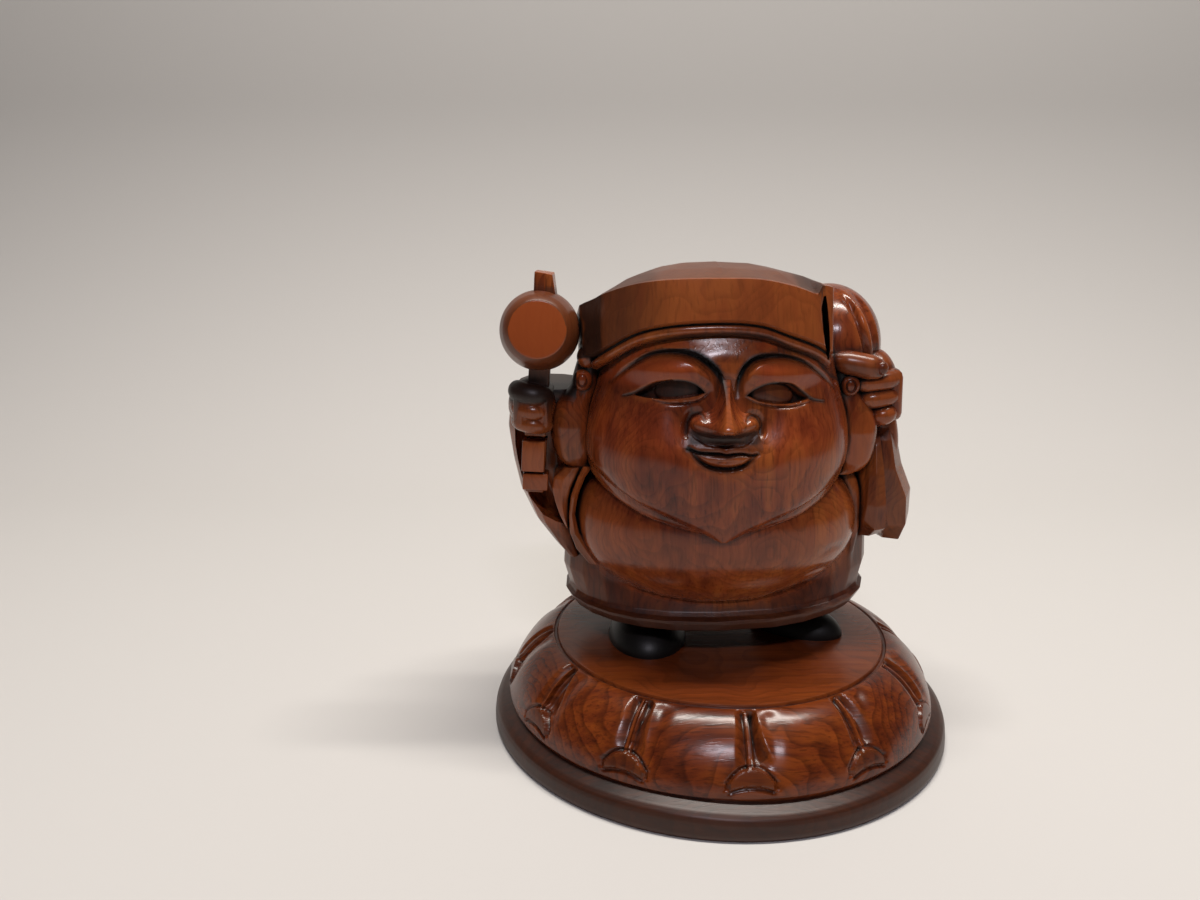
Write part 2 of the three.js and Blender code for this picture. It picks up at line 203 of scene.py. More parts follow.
def curve_through(points, steps=8):
    """A finely stepped smooth curve through a few points."""
    given = np.array(points, float)
    ends = np.vstack([2 * given[0] - given[1], given, 2 * given[-1] - given[-2]])
    t = (np.arange(steps) / steps)[:, None]
    pieces = []
    for a, b, c, d in zip(ends, ends[1:], ends[2:], ends[3:]):
        bend = (2 * a - 5 * b + 4 * c - d) * t * t + (3 * b - a - 3 * c + d) * t ** 3
        pieces.append(0.5 * (2 * b + (c - a) * t + bend))
    return np.vstack(pieces + [given[-1:]])


def beside(x, z, curve):
    """Each point's distance from a curve, its side (1 left of the way, -1 right) and the
    share of the curve where it is nearest."""
    nearest = np.full(len(x), np.inf)
    side = np.ones(len(x))
    share = np.zeros(len(x))
    count = len(curve) - 1
    for k in range(count):
        start = curve[k]
        step = curve[k + 1] - start
        away_x = x - start[0]
        away_z = z - start[1]
        t = np.clip((away_x * step[0] + away_z * step[1]) / (step @ step), 0, 1)
        distance = np.hypot(away_x - t * step[0], away_z - t * step[1])
        closer = distance < nearest
        nearest[closer] = distance[closer]
        side[closer] = np.sign(step[0] * away_z - step[1] * away_x)[closer]
        share[closer] = ((k + t) / count)[closer]
    return nearest, side, share


def along(values, share):
    """A value that may change along a curve."""
    values = np.atleast_1d(np.asarray(values, float))
    return np.interp(share, np.linspace(0, 1, len(values)), values)


def gouge(x, z, line, depth, left, right):
    """The depth of a cut along a line. The walls reach left and right of its bottom: a
    narrow side is a steep straight wall and a wide one rises softly."""
    cut = np.zeros(len(x))
    curve = curve_through(line)
    reach = max(np.max(left), np.max(right))
    low = curve.min(0) - reach
    high = curve.max(0) + reach
    near = (x > low[0]) & (x < high[0]) & (z > low[1]) & (z < high[1])
    distance, side, share = beside(x[near], z[near], curve)
    width = np.where(side > 0, along(left, share), along(right, share))
    t = np.clip(distance / width, 0, 1)
    wall = np.where(width < 1, 1 - t, 0.5 + 0.5 * np.cos(np.pi * t))
    cut[near] = along(depth, share) * wall
    return cut


# Two ways to shape a lump

def loft(name, heights, ring, across, up, levels, crowd=1.0, flat=0.04):
    """A smooth form of level rings between the first height and the last. Every stretch
    between two heights gets as many rows. crowd under 1 puts more of them to the front."""
    piece, unit = clay(name, across, up, levels)
    share, turn = on_lump(unit)
    turn = ((turn + math.pi / 2) / math.pi + 1) % 2 - 1
    angle = -math.pi / 2 + math.pi * turn * (crowd + (1 - crowd) * np.abs(turn))
    inner = np.clip((share - flat) / (1 - 2 * flat), 0, 1)
    height = np.interp(inner, np.linspace(0, 1, len(heights)), heights)
    opened = np.clip(np.minimum(share, 1 - share) / flat, 0, 1)[:, None]
    front, back = (ring(height, np.full(len(unit), way * math.pi / 2)) for way in (-1, 1))
    middle = (front + back) / 2
    return move_points(piece, middle + (ring(height, angle) - middle) * opened)


def stacked(name, rows, levels=3, rounds=2):
    """A form cut in flat facets: rows of corners from the lowest to the highest, each row
    counted from the front by way of the viewer's right, with its edges rubbed down."""
    corners = np.array(rows, float)
    count, around = corners.shape[:2]
    piece, unit = clay(name, around, count + 1)
    share, turn = on_lump(unit)
    row = np.clip(np.rint(share * (count + 1)).astype(int) - 1, 0, count - 1)
    place = (turn + math.pi / 2) / (2 * math.pi) * around
    off_even = place[np.argmin(np.abs(share - 0.5))] % 1
    points = corners[row, np.rint(place - off_even).astype(int) % around]
    points[share < 0.001] = corners[0].mean(0)
    points[share > 0.999] = corners[-1].mean(0)
    move_points(piece, points)
    refined(piece, levels)
    return softened(piece, rounds)


def cut_rows(heights, ring, around, wander=0.0, seed=1):
    """Rows of corners for stacked, on a form's rings: evenly spread, each off its place by
    chance, or at a list of turns in degrees from the front."""
    chance = np.random.default_rng(seed)
    if isinstance(around, int):
        around = 360 * np.arange(around) / around
    turns = np.radians(np.array(around, float))
    rows = []
    for height in heights:
        off = chance.uniform(-wander, wander, len(turns)) * 2 * math.pi / len(turns)
        rows.append(ring(np.full(len(turns), float(height)), turns + off - math.pi / 2))
    return rows


def faceted(ring, corners):
    """A ring cut straight between corners, given as turns in degrees from the front."""
    edges = np.array([*corners, 360], float)

    def flat(height, angle):
        turn = (np.degrees(angle) + 90) % 360
        i = np.clip(np.searchsorted(edges, turn, side="right") - 1, 0, len(corners) - 1)
        t = ((turn - edges[i]) / (edges[i + 1] - edges[i]))[:, None]
        ends = [ring(height, np.radians(edges[k] - 90)) for k in (i, i + 1)]
        return ends[0] * (1 - t) + ends[1] * t

    return flat


def slab(name, outline, front, back, levels=3, rounds=2):
    """A flat form with two edges: rows of height, left and right, between two depths."""
    z, left, right = np.array(outline, float).T
    middle = (left + right) / 2
    rows = [
        [(m, front, h), (r, front + 1, h), (r, back, h), (l, back, h), (l, front + 1, h)]
        for h, l, m, r in zip(z, left, middle, right)
    ]
    return stacked(name, rows, levels, rounds)


def egg(name, centre, radii, across=20, up=12, levels=2, change=None, turn=0.0):
    """A smooth round form, with an optional change of its unit points."""
    piece, unit = clay(name, across, up, levels)
    if change:
        unit = change(unit)
    return move_points(piece, turned(unit * radii, turn) + centre)


def turned(points, degrees, axis=2):
    """Points turned about an axis through the origin."""
    angle = math.radians(degrees)
    cos, sin = math.cos(angle), math.sin(angle)
    a, b = [(1, 2), (2, 0), (0, 1)][axis]
    out = points.copy()
    out[:, a] = points[:, a] * cos - points[:, b] * sin
    out[:, b] = points[:, a] * sin + points[:, b] * cos
    return out


def roll(name, path, radii, across=12, up=10, levels=2):
    """A finger-like form along a short path, round at both ends."""
    piece, unit = clay(name, across, up, levels)
    share, turn = on_lump(unit)
    line = curve_through(path, 6)
    steps = np.linspace(0, 1, len(line))
    slope = np.gradient(line, axis=0)
    slope /= np.linalg.norm(slope, axis=1)[:, None]
    aside = np.cross(slope, [0, 0, 1.0])
    aside /= np.linalg.norm(aside, axis=1)[:, None]
    rise = np.cross(slope, aside)
    at = lambda table: np.stack([np.interp(share, steps, table[:, k]) for k in range(3)], 1)
    thick = along(radii, share) * np.sqrt(np.clip(1 - (2 * share - 1) ** 6, 0, 1))
    points = at(line) + at(aside) * (thick * np.cos(turn))[:, None]
    return move_points(piece, points + at(rise) * (thick * np.sin(turn))[:, None])


def block(name, centre, size, lean=0.0, bevel=0.4):
    """A square-cut block with rubbed edges, leaning sideways."""
    piece = added(name, bpy.ops.mesh.primitive_cube_add, size=1)
    move_points(piece, turned(points_of(piece) * size, lean, 1) + centre)
    return modified(piece, "BEVEL", width=bevel, segments=3)


def scored(piece, behind, left, right, lines):
    """Cuts grooves into a form along lines, in front of a depth."""
    points = points_of(piece)
    x, y, z = points.T
    front = y < behind
    cut = np.zeros(len(points))
    for line, depth in lines:
        cut[front] += gouge(x[front], z[front], line, depth, left, right)
    return move_points(piece, points - normals_of(piece) * cut[:, None])


def united(name, forms, kind="UNION"):
    """The first form with all the others joined to it, or cut from it."""
    first, *others = forms
    tools = bpy.data.collections.new(name)
    bpy.context.scene.collection.children.link(tools)
    for form in others:
        tools.objects.link(form)
    modified(
        first, "BOOLEAN", operation=kind, solver="MANIFOLD",
        operand_type="COLLECTION", collection=tools,
    )
    for form in others:
        bpy.data.objects.remove(form)
    bpy.data.collections.remove(tools)
    first.name = name
    return first


# The face. The lines of the eyes run from the nose outwards.

FACE_HALF = follow([
    [36.2, 0.8], [38.9, 7.3], [41.5, 14], [44.3, 20.6], [47.5, 26.8], [50, 30.4],
    [53, 32.6], [58.8, 33.2], [63.9, 32.6], [70.3, 31], [76, 29.4], [84, 28], [92, 22],
])
FACE_FRONT = follow([
    [36.2, -33.2], [42, -34.6], [50, -35.4], [57, -35], [64, -33.6], [72, -31.8],
    [77, -31.9], [80, -31.5], [83, -30.2], [86, -28.6], [92, -24],
])
FACE_MIDDLE = follow([
    [36.2, -32], [40, -27], [44, -22], [47, -17], [50, -12], [58, -9], [70, -6], [92, -4],
])
HEAD_BACK = follow([
    [36.2, -30], [44, -10], [50, 6], [58, 18], [70, 23], [80, 22], [92, 14],
])
EYES = {
    -1: {
        "brow": [(-0.8, 70.4), (-1.1, 73.3), (-2.2, 76.4), (-4.5, 78.8), (-7.7, 80.6),
                 (-11.6, 81.2), (-16, 80.7), (-19.4, 79.2), (-23.3, 76), (-27.3, 71.8)],
        "upper": [(-5.2, 72), (-7.1, 73.6), (-9.5, 74.5), (-12.5, 74.6), (-15.9, 73.8),
                  (-18.3, 72.6), (-21.3, 70.9), (-23.8, 69.9)],
        "lower": [(-5.2, 71.9), (-6.3, 71.3), (-8.5, 70.7), (-11.5, 70.3), (-14.4, 70.1),
                  (-18.3, 70.2), (-21.1, 70.4)],
        "rim": [(-4.1, 72.2), (-5.1, 71), (-7.1, 69.8), (-10, 69.3), (-13.4, 69.3),
                (-17.1, 69.8)],
        "ball": (-11.9, 72.2),
        "lid": (-13.4, 76.6),
    },
    1: {
        "brow": [(2, 70.4), (2.3, 73.3), (2.8, 75.9), (4.1, 78.2), (6.4, 79.8),
                 (9.7, 80.3), (13.6, 80), (18.1, 78.4), (22.8, 75.1), (27.5, 70.8)],
        "upper": [(4.5, 71.3), (6.4, 72.7), (8.9, 73.8), (11.5, 74.1), (14.7, 73.5),
                  (17.5, 71.7), (20.3, 69.7), (23.6, 68.7)],
        "lower": [(4.9, 71.1), (7.4, 69.8), (10.5, 69.2), (13.6, 69.1), (16.9, 69.3),
                  (19.2, 69.8)],
        "rim": [(4.3, 70.8), (6.9, 69.4), (10.5, 68.6), (14.2, 68.5), (17.4, 68.7),
                (19.7, 69.1)],
        "ball": (11.3, 71.4),
        "lid": (13, 75.8),
    },
}
MOUTH_LINE = [
    (-9, 59.3), (-6.6, 58.5), (-3.6, 58.3), (-1.6, 58.2), (-0.1, 57.9), (1.4, 58.1),
    (3.4, 58.2), (5.4, 57.9), (7.1, 58.1),
]
LIP_HOLLOW = [
    (-8.5, 59.1), (-6.8, 56.9), (-4, 55.1), (-0.1, 54.5), (3.4, 55.1), (5.4, 56.5),
    (6.8, 57.9),
]
NOSE_CURLS = [
    [(-9.1, 62.9), (-9, 65), (-8.2, 66.6), (-6.8, 67.2), (-5.8, 66.9), (-5.4, 66)],
    [(7.6, 62.9), (7.5, 64.8), (6.7, 66.2), (5.5, 66.7), (4.6, 66.4), (4.3, 65.6)],
]
UNDER_NOSE = [(-7.6, 61.9), (-4.6, 60.3), (-1.9, 59.9), (0.9, 59.9), (3.9, 60.2), (6.1, 61.7)]


def face_ring(height, angle):
    roundness = 0.6 + 0.28 * smooth_step(height, 40, 54)
    deep = power(np.sin(angle), roundness)
    middle = FACE_MIDDLE(height)
    x = FACE_HALF(height) * power(np.cos(angle), roundness)
    reach = np.where(deep < 0, middle - FACE_FRONT(height), HEAD_BACK(height) - middle)
    y = middle + reach * deep
    side = np.abs(x)
    cheek = 1.6 * bump(side - 17, 9) * bump(height - 58, 10)
    keel = 1.6 * bump(side, 8) * bump(height - 42, 8)
    beside_nose = 1.2 * bump(side - 9, 4) * bump(height - 65, 6)
    y = y + np.where(deep < 0, beside_nose - cheek - keel * 0.4, 0)
    return np.stack([x, y, height], 1)


def eye_slit(x, z, side):
    """1 between the lids."""
    across = side * x
    upper = np.array(EYES[side]["upper"]) * (side, 1)
    lower = np.array(EYES[side]["lower"]) * (side, 1)
    top = follow(upper)(across)
    foot = np.interp(across, lower[:, 0], lower[:, 1])
    within = smooth_step(across, upper[0, 0] - 0.1, upper[0, 0] + 0.5)
    within *= 1 - smooth_step(across, lower[-1, 0] - 0.3, lower[-1, 0] + 0.5)
    return smooth_step(top - z, -0.05, 0.4) * smooth_step(z - foot, -0.05, 0.4) * within


def eye_relief(x, z, side):
    """The brow's deep sweep, the swelling lid, the slit with the eyeball in it, and the
    thin rim of the lower lid."""
    eye = EYES[side]
    lid_x, lid_z = eye["lid"]
    out = 1.6 * bump(x - lid_x, 8.4) * bump(z - lid_z, 3.1)
    deep = [0, 0.9, 1.9, 2.3, 1.9, 1.5, 1.2, 0.9, 0.5, 0.1]
    soft = [1.8, 2.4, 3.1, 3.4, 2.6, 2, 1.8, 1.5, 1.1, 0.6]
    if side > 0:
        soft = [1.6, 2, 2.3, 2.4, 2, 1.8, 1.6, 1.4, 1.1, 0.6]
    crisp = [1.6, 1.1, 0.6, 0.5, 0.5, 0.5, 0.5, 0.5, 0.5, 0.4]
    left, right = (crisp, soft) if side > 0 else (soft, crisp)
    out -= gouge(x, z, eye["brow"], deep, left, right)
    slit = eye_slit(x, z, side)
    ball_x, ball_z = eye["ball"]
    round_out = 1 - ((x - ball_x) / 5.6) ** 2 - ((z - ball_z) / 3) ** 2
    eyeball = 1.3 * np.sqrt(np.clip(round_out, 0, 1))
    out -= slit * (out + 2.5 - eyeball)
    out -= gouge(x, z, eye["upper"][3:], [0.5, 0.5, 0.5, 0.2], 0.35, 0.45)
    left, right = (0.35, 0.5) if side > 0 else (0.5, 0.35)
    out -= gouge(x, z, eye["rim"], [0.1, 0.4, 0.5, 0.5, 0.4, 0.1], left, right)
    return out


def mouth_relief(x, z):
    """The upper lip, the line of the smile, the full lower lip and the hollow below it."""
    out = 0.5 * bump(x + 0.8, 6) * bump(z - 59.3, 0.9)
    out += 0.9 * bump(x + 0.7, 4.4) * bump(z - 57, 0.9)
    out -= gouge(x, z, LIP_HOLLOW, [0.3, 0.9, 1.3, 1.4, 1.3, 0.9, 0.3], 1.3, 0.4)
    out -= gouge(x, z, MOUTH_LINE, [0.4, 1, 1, 1, 1, 1, 1, 0.9, 0.4], 0.4, 0.5)
    out -= gouge(x, z, UNDER_NOSE, [0.2, 0.9, 1.1, 1.1, 0.9, 0.2], 1.9, 0.4)
    out -= 0.35 * bump(x + 0.5, 0.9) * bump(z - 59.5, 0.7)
    for line, left, right in zip(NOSE_CURLS, (1.9, 0.4), (0.4, 1.9)):
        out -= gouge(x, z, line[:4], [0.9, 1, 0.8, 0.4], left, right)
    return out


def head_form():
    heights = [36.2, 41, 46, 51, 54.5, 57.5, 60.5, 64, 67.5, 70, 72.5, 75, 78, 81.5, 88]
    head = loft("head", heights, face_ring, 28, 18, 4, crowd=0.5)
    points = points_of(head)
    x, y, z = points.T
    front = (y < -4) & (z > 50) & (z < 86)
    x, z = x[front], z[front]
    relief = np.zeros(len(points))
    relief[front] = eye_relief(x, z, -1) + eye_relief(x, z, 1) + mouth_relief(x, z)
    return move_points(head, points + normals_of(head) * relief[:, None])


def nose_form():
    half = follow([
        [61.4, 6], [62.6, 8.1], [64.6, 8.7], [66.6, 7.8], [68.4, 5.3], [70.5, 4], [74, 3],
        [78, 3.4], [81, 4.4],
    ])
    ridge = follow([
        [61.4, 34.8], [62.4, 37.2], [63.5, 39.8], [64.8, 40.4], [67, 38.9], [71, 35.5],
        [74, 33], [77, 30.6], [81, 27.6],
    ])
    flank = follow([[61.4, 33.2], [65, 33.6], [68, 31.8], [72, 30.2], [77, 28.8], [81, 27]])
    sharp = follow([[61.4, 3.2], [64, 2.5], [67, 1.9], [71, 1.4], [76, 1.3], [81, 1.8]])
    flat = follow([[61.4, 0.8], [64, 0.9], [67, 0.6], [71, 0.4], [75, 0.9], [81, 2]])
    root = 26
    middle = -0.4

    def ring(height, angle):
        front = np.clip(-np.sin(angle), 0, 1)
        x = half(height) * power(np.cos(angle), 0.8)
        away = np.abs(x)
        deep = (flank(height) - root) * front ** 0.3
        fall = np.clip(away - flat(height), 0, None) / sharp(height)
        deep += (ridge(height) - flank(height)) * np.exp(-(fall ** 1.35)) * front ** 0.2
        deep += 1.6 * bump(away - 5.8, 2.3) * bump(height - 65.2, 2) * front ** 0.2
        lift = bump(x, 2.4) * (1 - smooth_step(height, 61.4, 65))
        return np.stack([x + middle, -root - deep, height + lift], 1)

    nose = loft("nose", [61.4, 62, 64, 66, 68, 72, 76, 81], ring, 20, 12, 4, flat=0.05)
    points = points_of(nose)
    x, y, z = points.T
    depth = [0.4, 0.8, 0.8, 0.5, 0.2]
    points[:, 1] += sum(gouge(x, z, line[1:], depth, 0.6, 0.6) for line in NOSE_CURLS)
    return move_points(nose, points)


def chin_roll_form():
    drop = follow([[35.8, 0.4], [38, 2.2], [42, 3.4], [52, 3]])

    def ring(height, angle):
        points = face_ring(height + drop(height), angle)
        return np.stack([points[:, 0], points[:, 1] + 3, height], 1)

    heights = [35.8, 38, 40.4, 43, 46, 52.5]
    return loft("chin_roll", heights, ring, 24, 12, 3, crowd=0.6)


EAR_OUTER = [
    [48.6, 36], [50, 38.9], [53, 40.9], [57, 41.7], [61, 41.8], [64.6, 41], [67.6, 38.8],
    [70, 36.8], [73, 35.9], [76, 35], [79, 34],
]
EAR_DROP = {-1: 0, 1: -1.4}
EAR_IN = {-1: 0, 1: -0.8}


def ear_forms(side):
    """A long flat lobe, widest low down, with a ring and a knob above it."""
    outer = follow(EAR_OUTER)

    def ring(height, angle):
        edge = outer(height)
        inner = edge - np.interp(height, [48.6, 54, 62, 70, 79], [5.5, 11, 10.8, 7, 5])
        middle = (edge + inner) / 2
        reach = np.interp(height, [48.6, 52, 60, 68, 79], [3.4, 5.4, 6.2, 4.4, 3.2])
        x = middle + (edge - inner) / 2 * power(np.cos(angle), 0.8)
        y = -9.5 + np.where(np.sin(angle) < 0, reach, 5) * power(np.sin(angle), 0.9)
        return np.stack([side * x + EAR_IN[side], y, height + EAR_DROP[side]], 1)

    ear = loft("ear", [48.6, 51, 55, 60, 65, 69, 74, 79], ring, 20, 14, 2, flat=0.1)
    hole = (side * 33.6 + EAR_IN[side], -13.6, 71.8 + EAR_DROP[side])
    knob = egg("ear_top", (side * 32.4, -12.4, 77.4 + EAR_DROP[side]), (2.6, 2.8, 2.9))
    rim = egg("ear_ring", hole, (2.4, 1.6, 2.7))
    dish = egg("ear_cut", (hole[0], -15.6, hole[2]), (1.7, 1.6, 2.1), 16, 10)
    pearl = egg("ear_pearl", (hole[0], -14, hole[2]), (1.2, 0.8, 1.6), 16, 10)
    ear = united("ear", [ear, knob, rim])
    return [united("ear", [ear, dish], "DIFFERENCE"), pearl]


# The cap, laid out about its own upright axis and tipped back

CAP_TILT = -19
CAP_HEART = (-1, 0, 73.3)
CAP_MIDDLE = -4
CAP_BACK = 28
CAP_BAND_TOP = 13
CAP_HALF, CAP_FRONT = follow_all([
    [0, 30.4, 33.4], [1.2, 31.4, 34.6], [2.5, 30.8, 34.2], [2.9, 32.4, 35.4], [13, 33.4, 36.8],
    [15, 31.5, 34], [19, 25.5, 27], [22.5, 16, 18], [24.4, 6, 9],
])


def cap_ring(height, angle):
    crown = height > CAP_BAND_TOP
    roundness = np.where(crown, 0.9, 0.76)
    deep = power(np.sin(angle), roundness)
    reach = np.where(deep < 0, CAP_FRONT(height) + CAP_MIDDLE, CAP_BACK - CAP_MIDDLE)
    shrink = np.where(crown, CAP_HALF(height) / CAP_HALF(np.array([CAP_BAND_TOP]))[0], 1)
    return np.stack([
        CAP_HALF(height) * power(np.cos(angle), roundness),
        CAP_MIDDLE + reach * deep * np.where(deep < 0, 1, shrink),
        height,
    ], 1)


CAP_SINKS_BELOW = follow([
    [-33, -3.4], [-28, -3.2], [-18, 0], [-2, 1.1], [8, 0.6], [15, -1.4], [22, -3.1], [26, -4.6],
])
CAP_SINKS_ABOVE = follow([
    [-33, -1.2], [-28, -0.9], [-18, 0], [0, 0.1], [8, 0], [16, -1.2], [20.5, -2.2], [21.6, -2.2],
    [23, 0], [33, 0],
])
BAND_TURNS = [
    *range(0, 45, 4), 50, 70, 90, 112, 134, 157, 180, 203, 226, 248, 270, 288, 306,
    *range(310, 360, 4),
]
CROWN_TURNS = [0, 24, 47, 80, 125, 180, 235, 275, 312, 336]
CAP_END = 26
CAP_SINK_FROM = 2.5
CAP_SINK_OVER = 10.5


def on_head(piece):
    """Bends a part of the cap to the brow's arch and tips it back on the head."""
    points = points_of(piece)
    x = points[:, 0]
    x = np.where(x > CAP_END, CAP_END + (x - CAP_END) * 0.3, x)
    points[:, 0] = x - 1.2 * smooth_step(-x, 29, 32)
    x, y, z = points.T
    t = np.clip((z - CAP_SINK_FROM) / CAP_SINK_OVER, 0, 1)
    above = CAP_SINKS_ABOVE(x) * (1 - (x > 0) * smooth_step(z, 13, 17.5))
    points[:, 2] += (CAP_SINKS_BELOW(x) * (1 - t) + above * t) * smooth_step(-y, -10, 12)
    return move_points(piece, turned(points, CAP_TILT, 0) + CAP_HEART)


def height_on_cap(x, y, z):
    """Undoes on_head in front: a point's height on the cap's own axis, to the rounding of
    the tilt's sine and cosine."""
    below = CAP_SINKS_BELOW(x) * (y < 0)
    more = CAP_SINKS_ABOVE(x) * (y < 0) - below
    level = y * 0.326 + (z - CAP_HEART[2]) * 0.946 - below
    return (level + more * 0.238) / (1 + more * 0.095)


def cap_forms():
    def roll_ring(height, angle):
        points = cap_ring(np.full(len(angle), 2.0), angle)
        swell = 1 - 0.05 * (np.abs(height - 1.3) / 1.3) ** 3
        middle = np.array([0, CAP_MIDDLE, 0])
        points = middle + (points - middle) * swell[:, None]
        points[:, 2] = height
        return points

    def inner_ring(height, angle):
        return cap_ring(height, angle) * (0.985, 0.985, 1)

    planes = faceted(cap_ring, CROWN_TURNS)
    cap = stacked("cap", [
        *cut_rows([2.5, 2.9, 13], cap_ring, BAND_TURNS),
        *cut_rows([17.5, 22, 24.4], planes, BAND_TURNS),
    ], 3, 1)
    rim = loft("cap_roll", [0, 0.6, 1.3, 2, 2.6], roll_ring, 30, 8, 3, flat=0.12)
    inside = loft("cap_inside", [0.4, 3, 6], inner_ring, 24, 6, 2)
    return [on_head(form) for form in (cap, rim, inside)]


def cap_notch():
    """The deep cut that sets off the flap at the cap's left-hand end."""
    rows = [
        [(22.2, -34, 78.6), (24, -34, 78.6), (24.8, -21, 78.6)],
        [(20, -35, 86), (23.4, -35, 86), (24.2, -19, 86)],
        [(19.3, -35, 90.4), (23, -35, 90.4), (23.6, -19, 90.4)],
        [(19, -35, 93.4), (22.6, -35, 93.4), (22.8, -24, 93.4)],
    ]
    return stacked("cap_notch", rows, 2, 0)


# The body and its clothes

BELLY_AT = (0.6, -7, 35)
BELLY_RADII = (36.9, 24.6, 23.2)


def belly_form():
    return scored(egg("belly", BELLY_AT, BELLY_RADII, 28, 18, 3), -12, 2.6, 0.9, [
        ([(12, 15.4), (16, 17.8), (22, 19.4), (27, 19.6)], [0, 0.5, 0.5, 0]),
        ([(18, 22.6), (23, 24.4), (27.5, 24.6), (30, 23)], [0, 0.4, 0.4, 0]),
        ([(24, 29), (28, 30.6), (31.4, 30.4), (33.6, 28.4)], [0, 0.3, 0.3, 0]),
        ([(-4, 13.2), (2, 14.6), (8, 14.4), (12, 13)], [0, 0.35, 0.35, 0]),
    ])


ROBE_HALF, ROBE_FRONT, ROBE_BACK = follow_all([
    [7.2, 29, 16, 20], [8.2, 36.4, 22.8, 27], [11.8, 40.4, 24.6, 28.6], [12.8, 39.2, 22.4, 27.4],
    [20, 41, 19.6, 28], [30, 40, 18, 28], [44, 36, 16, 27], [62, 30, 12, 22],
])
HEM_LOWEST = -8
HEM_SWING = 0.0016


def robe_ring(height, angle):
    deep = power(np.sin(angle), 0.9)
    reach = np.where(deep < 0, ROBE_FRONT(height), ROBE_BACK(height))
    x = 1.7 + ROBE_HALF(height) * power(np.cos(angle), 0.8)
    swing = np.clip(1 - (height - 14) / 24, 0, 1)
    rise = HEM_SWING * (x - HEM_LOWEST) ** 2 * swing
    return np.stack([x, reach * deep, height + rise], 1)


def robe_forms():
    heights = [7.2, 7.8, 9.4, 11.2, 11.9, 12.5, 13.4, 19, 27, 36, 48, 62]
    robe = stacked("robe", cut_rows(heights, robe_ring, 26, 0.12, 5), 4, 3)
    collar = roll(
        "collar", [(28, -4, 54), (34.4, -8, 46), (36.6, -9, 38), (36, -10, 28), (33, -13, 19)],
        [1.2, 2.4, 2.2, 1.6, 1], 12, 14, 2,
    )
    lapel = slab("lapel", [
        [33.6, -38, -37.2], [37, -39.6, -37.2], [40.4, -40.7, -37.4], [44, -41.4, -36.6],
        [46.7, -41, -35.3], [49.5, -38, -34.2],
    ], -15, -3)
    facing = slab("facing", [
        [24, -32, -28], [28.2, -35.4, -30.6], [32.6, -37, -34.4], [37.3, -37.2, -35.6],
        [42.4, -36.6, -34.8], [47.1, -34.9, -33], [50, -33.4, -31],
    ], -16, -3)
    return [robe, collar, lapel, facing]


def shoe_forms():
    def soled(unit):
        return np.stack([unit[:, 0], unit[:, 1], np.maximum(unit[:, 2], 0)], 1)

    forms = []
    for x, y, half, length, height, turn in (
        (-16.4, -6, 10.4, 15, 8, 0),
        (25, -1, 7.6, 13, 7, 62),
    ):
        forms.append(egg("shoe", (x, y, 0), (half, length, height), 20, 12, 2, soled, turn))
        forms.append(egg("leg", (x, y + 4, 8), (half * 0.86, half * 0.86, 9), 16, 10, 2))
    return forms


# The mallet and the raised arm

MALLET_AT = (-44, -13, 84)
MALLET_PITCH = -98
BARREL = [
    [-10, 6.7], [-9.8, 7], [-8, 8.3], [-5, 9.3], [0, 9.9], [5, 9.3], [8, 8.4], [10, 6.9],
]


def mallet_forms():
    def barrel_ring(height, angle):
        radius = np.interp(height, *np.transpose(BARREL))
        return np.stack([radius * np.cos(angle), radius * np.sin(angle), height], 1)

    heights = [-10, -9.8, -9.2, -8, -5, 0, 5, 8, 10]
    barrel = loft("mallet_barrel", heights, barrel_ring, 32, 16, 2, flat=0.08)
    move_points(barrel, turned(points_of(barrel), MALLET_PITCH, 0) + MALLET_AT)
    stub = stacked("mallet_stub", [
        [(-42.4, -16.6, 91), (-39.6, -16.2, 91), (-39.4, -11, 91), (-45, -11, 91),
         (-45.3, -16.4, 91)],
        [(-42.4, -16.2, 98), (-40.6, -15.6, 97.6), (-40.2, -11.4, 98), (-44.6, -11.4, 98.6),
         (-44.9, -16, 98.4)],
    ])
    return [
        barrel,
        stub,
        block("mallet_handle", (-44.6, -13.6, 68), (5.2, 5, 20), 4.5),
        block("handle_block", (-45.9, -14, 53), (5.7, 5.4, 8), 3, 0.35),
        block("handle_foot", (-45.6, -12.8, 46), (6.4, 5, 4.4), 3, 0.35),
        block("handle_core", (-45.4, -12, 50), (4.6, 4.4, 14), 4.5, 0.3),
    ]


def mallet_hand_forms():
    forms = [
        egg("palm_r", (-46.2, -12.6, 65.6), (5.9, 8.6, 6.7), 16, 10),
        block("fist_r", (-45.7, -13, 65.4), (9.6, 15.2, 10.8), 2, 2.2),
    ]
    for level, thick in ((69, 2.7), (65, 2.3), (61.6, 2.1)):
        path = [(-50, -11.6, level + 0.9), (-48.8, -17.4, level + 0.5),
                (-45, -19.4, level - 0.1), (-41.2, -16, level - 0.6)]
        radii = [thick * 0.8, thick, thick, thick * 0.9]
        forms.append(roll("finger_r", path, radii, 14))
    return forms


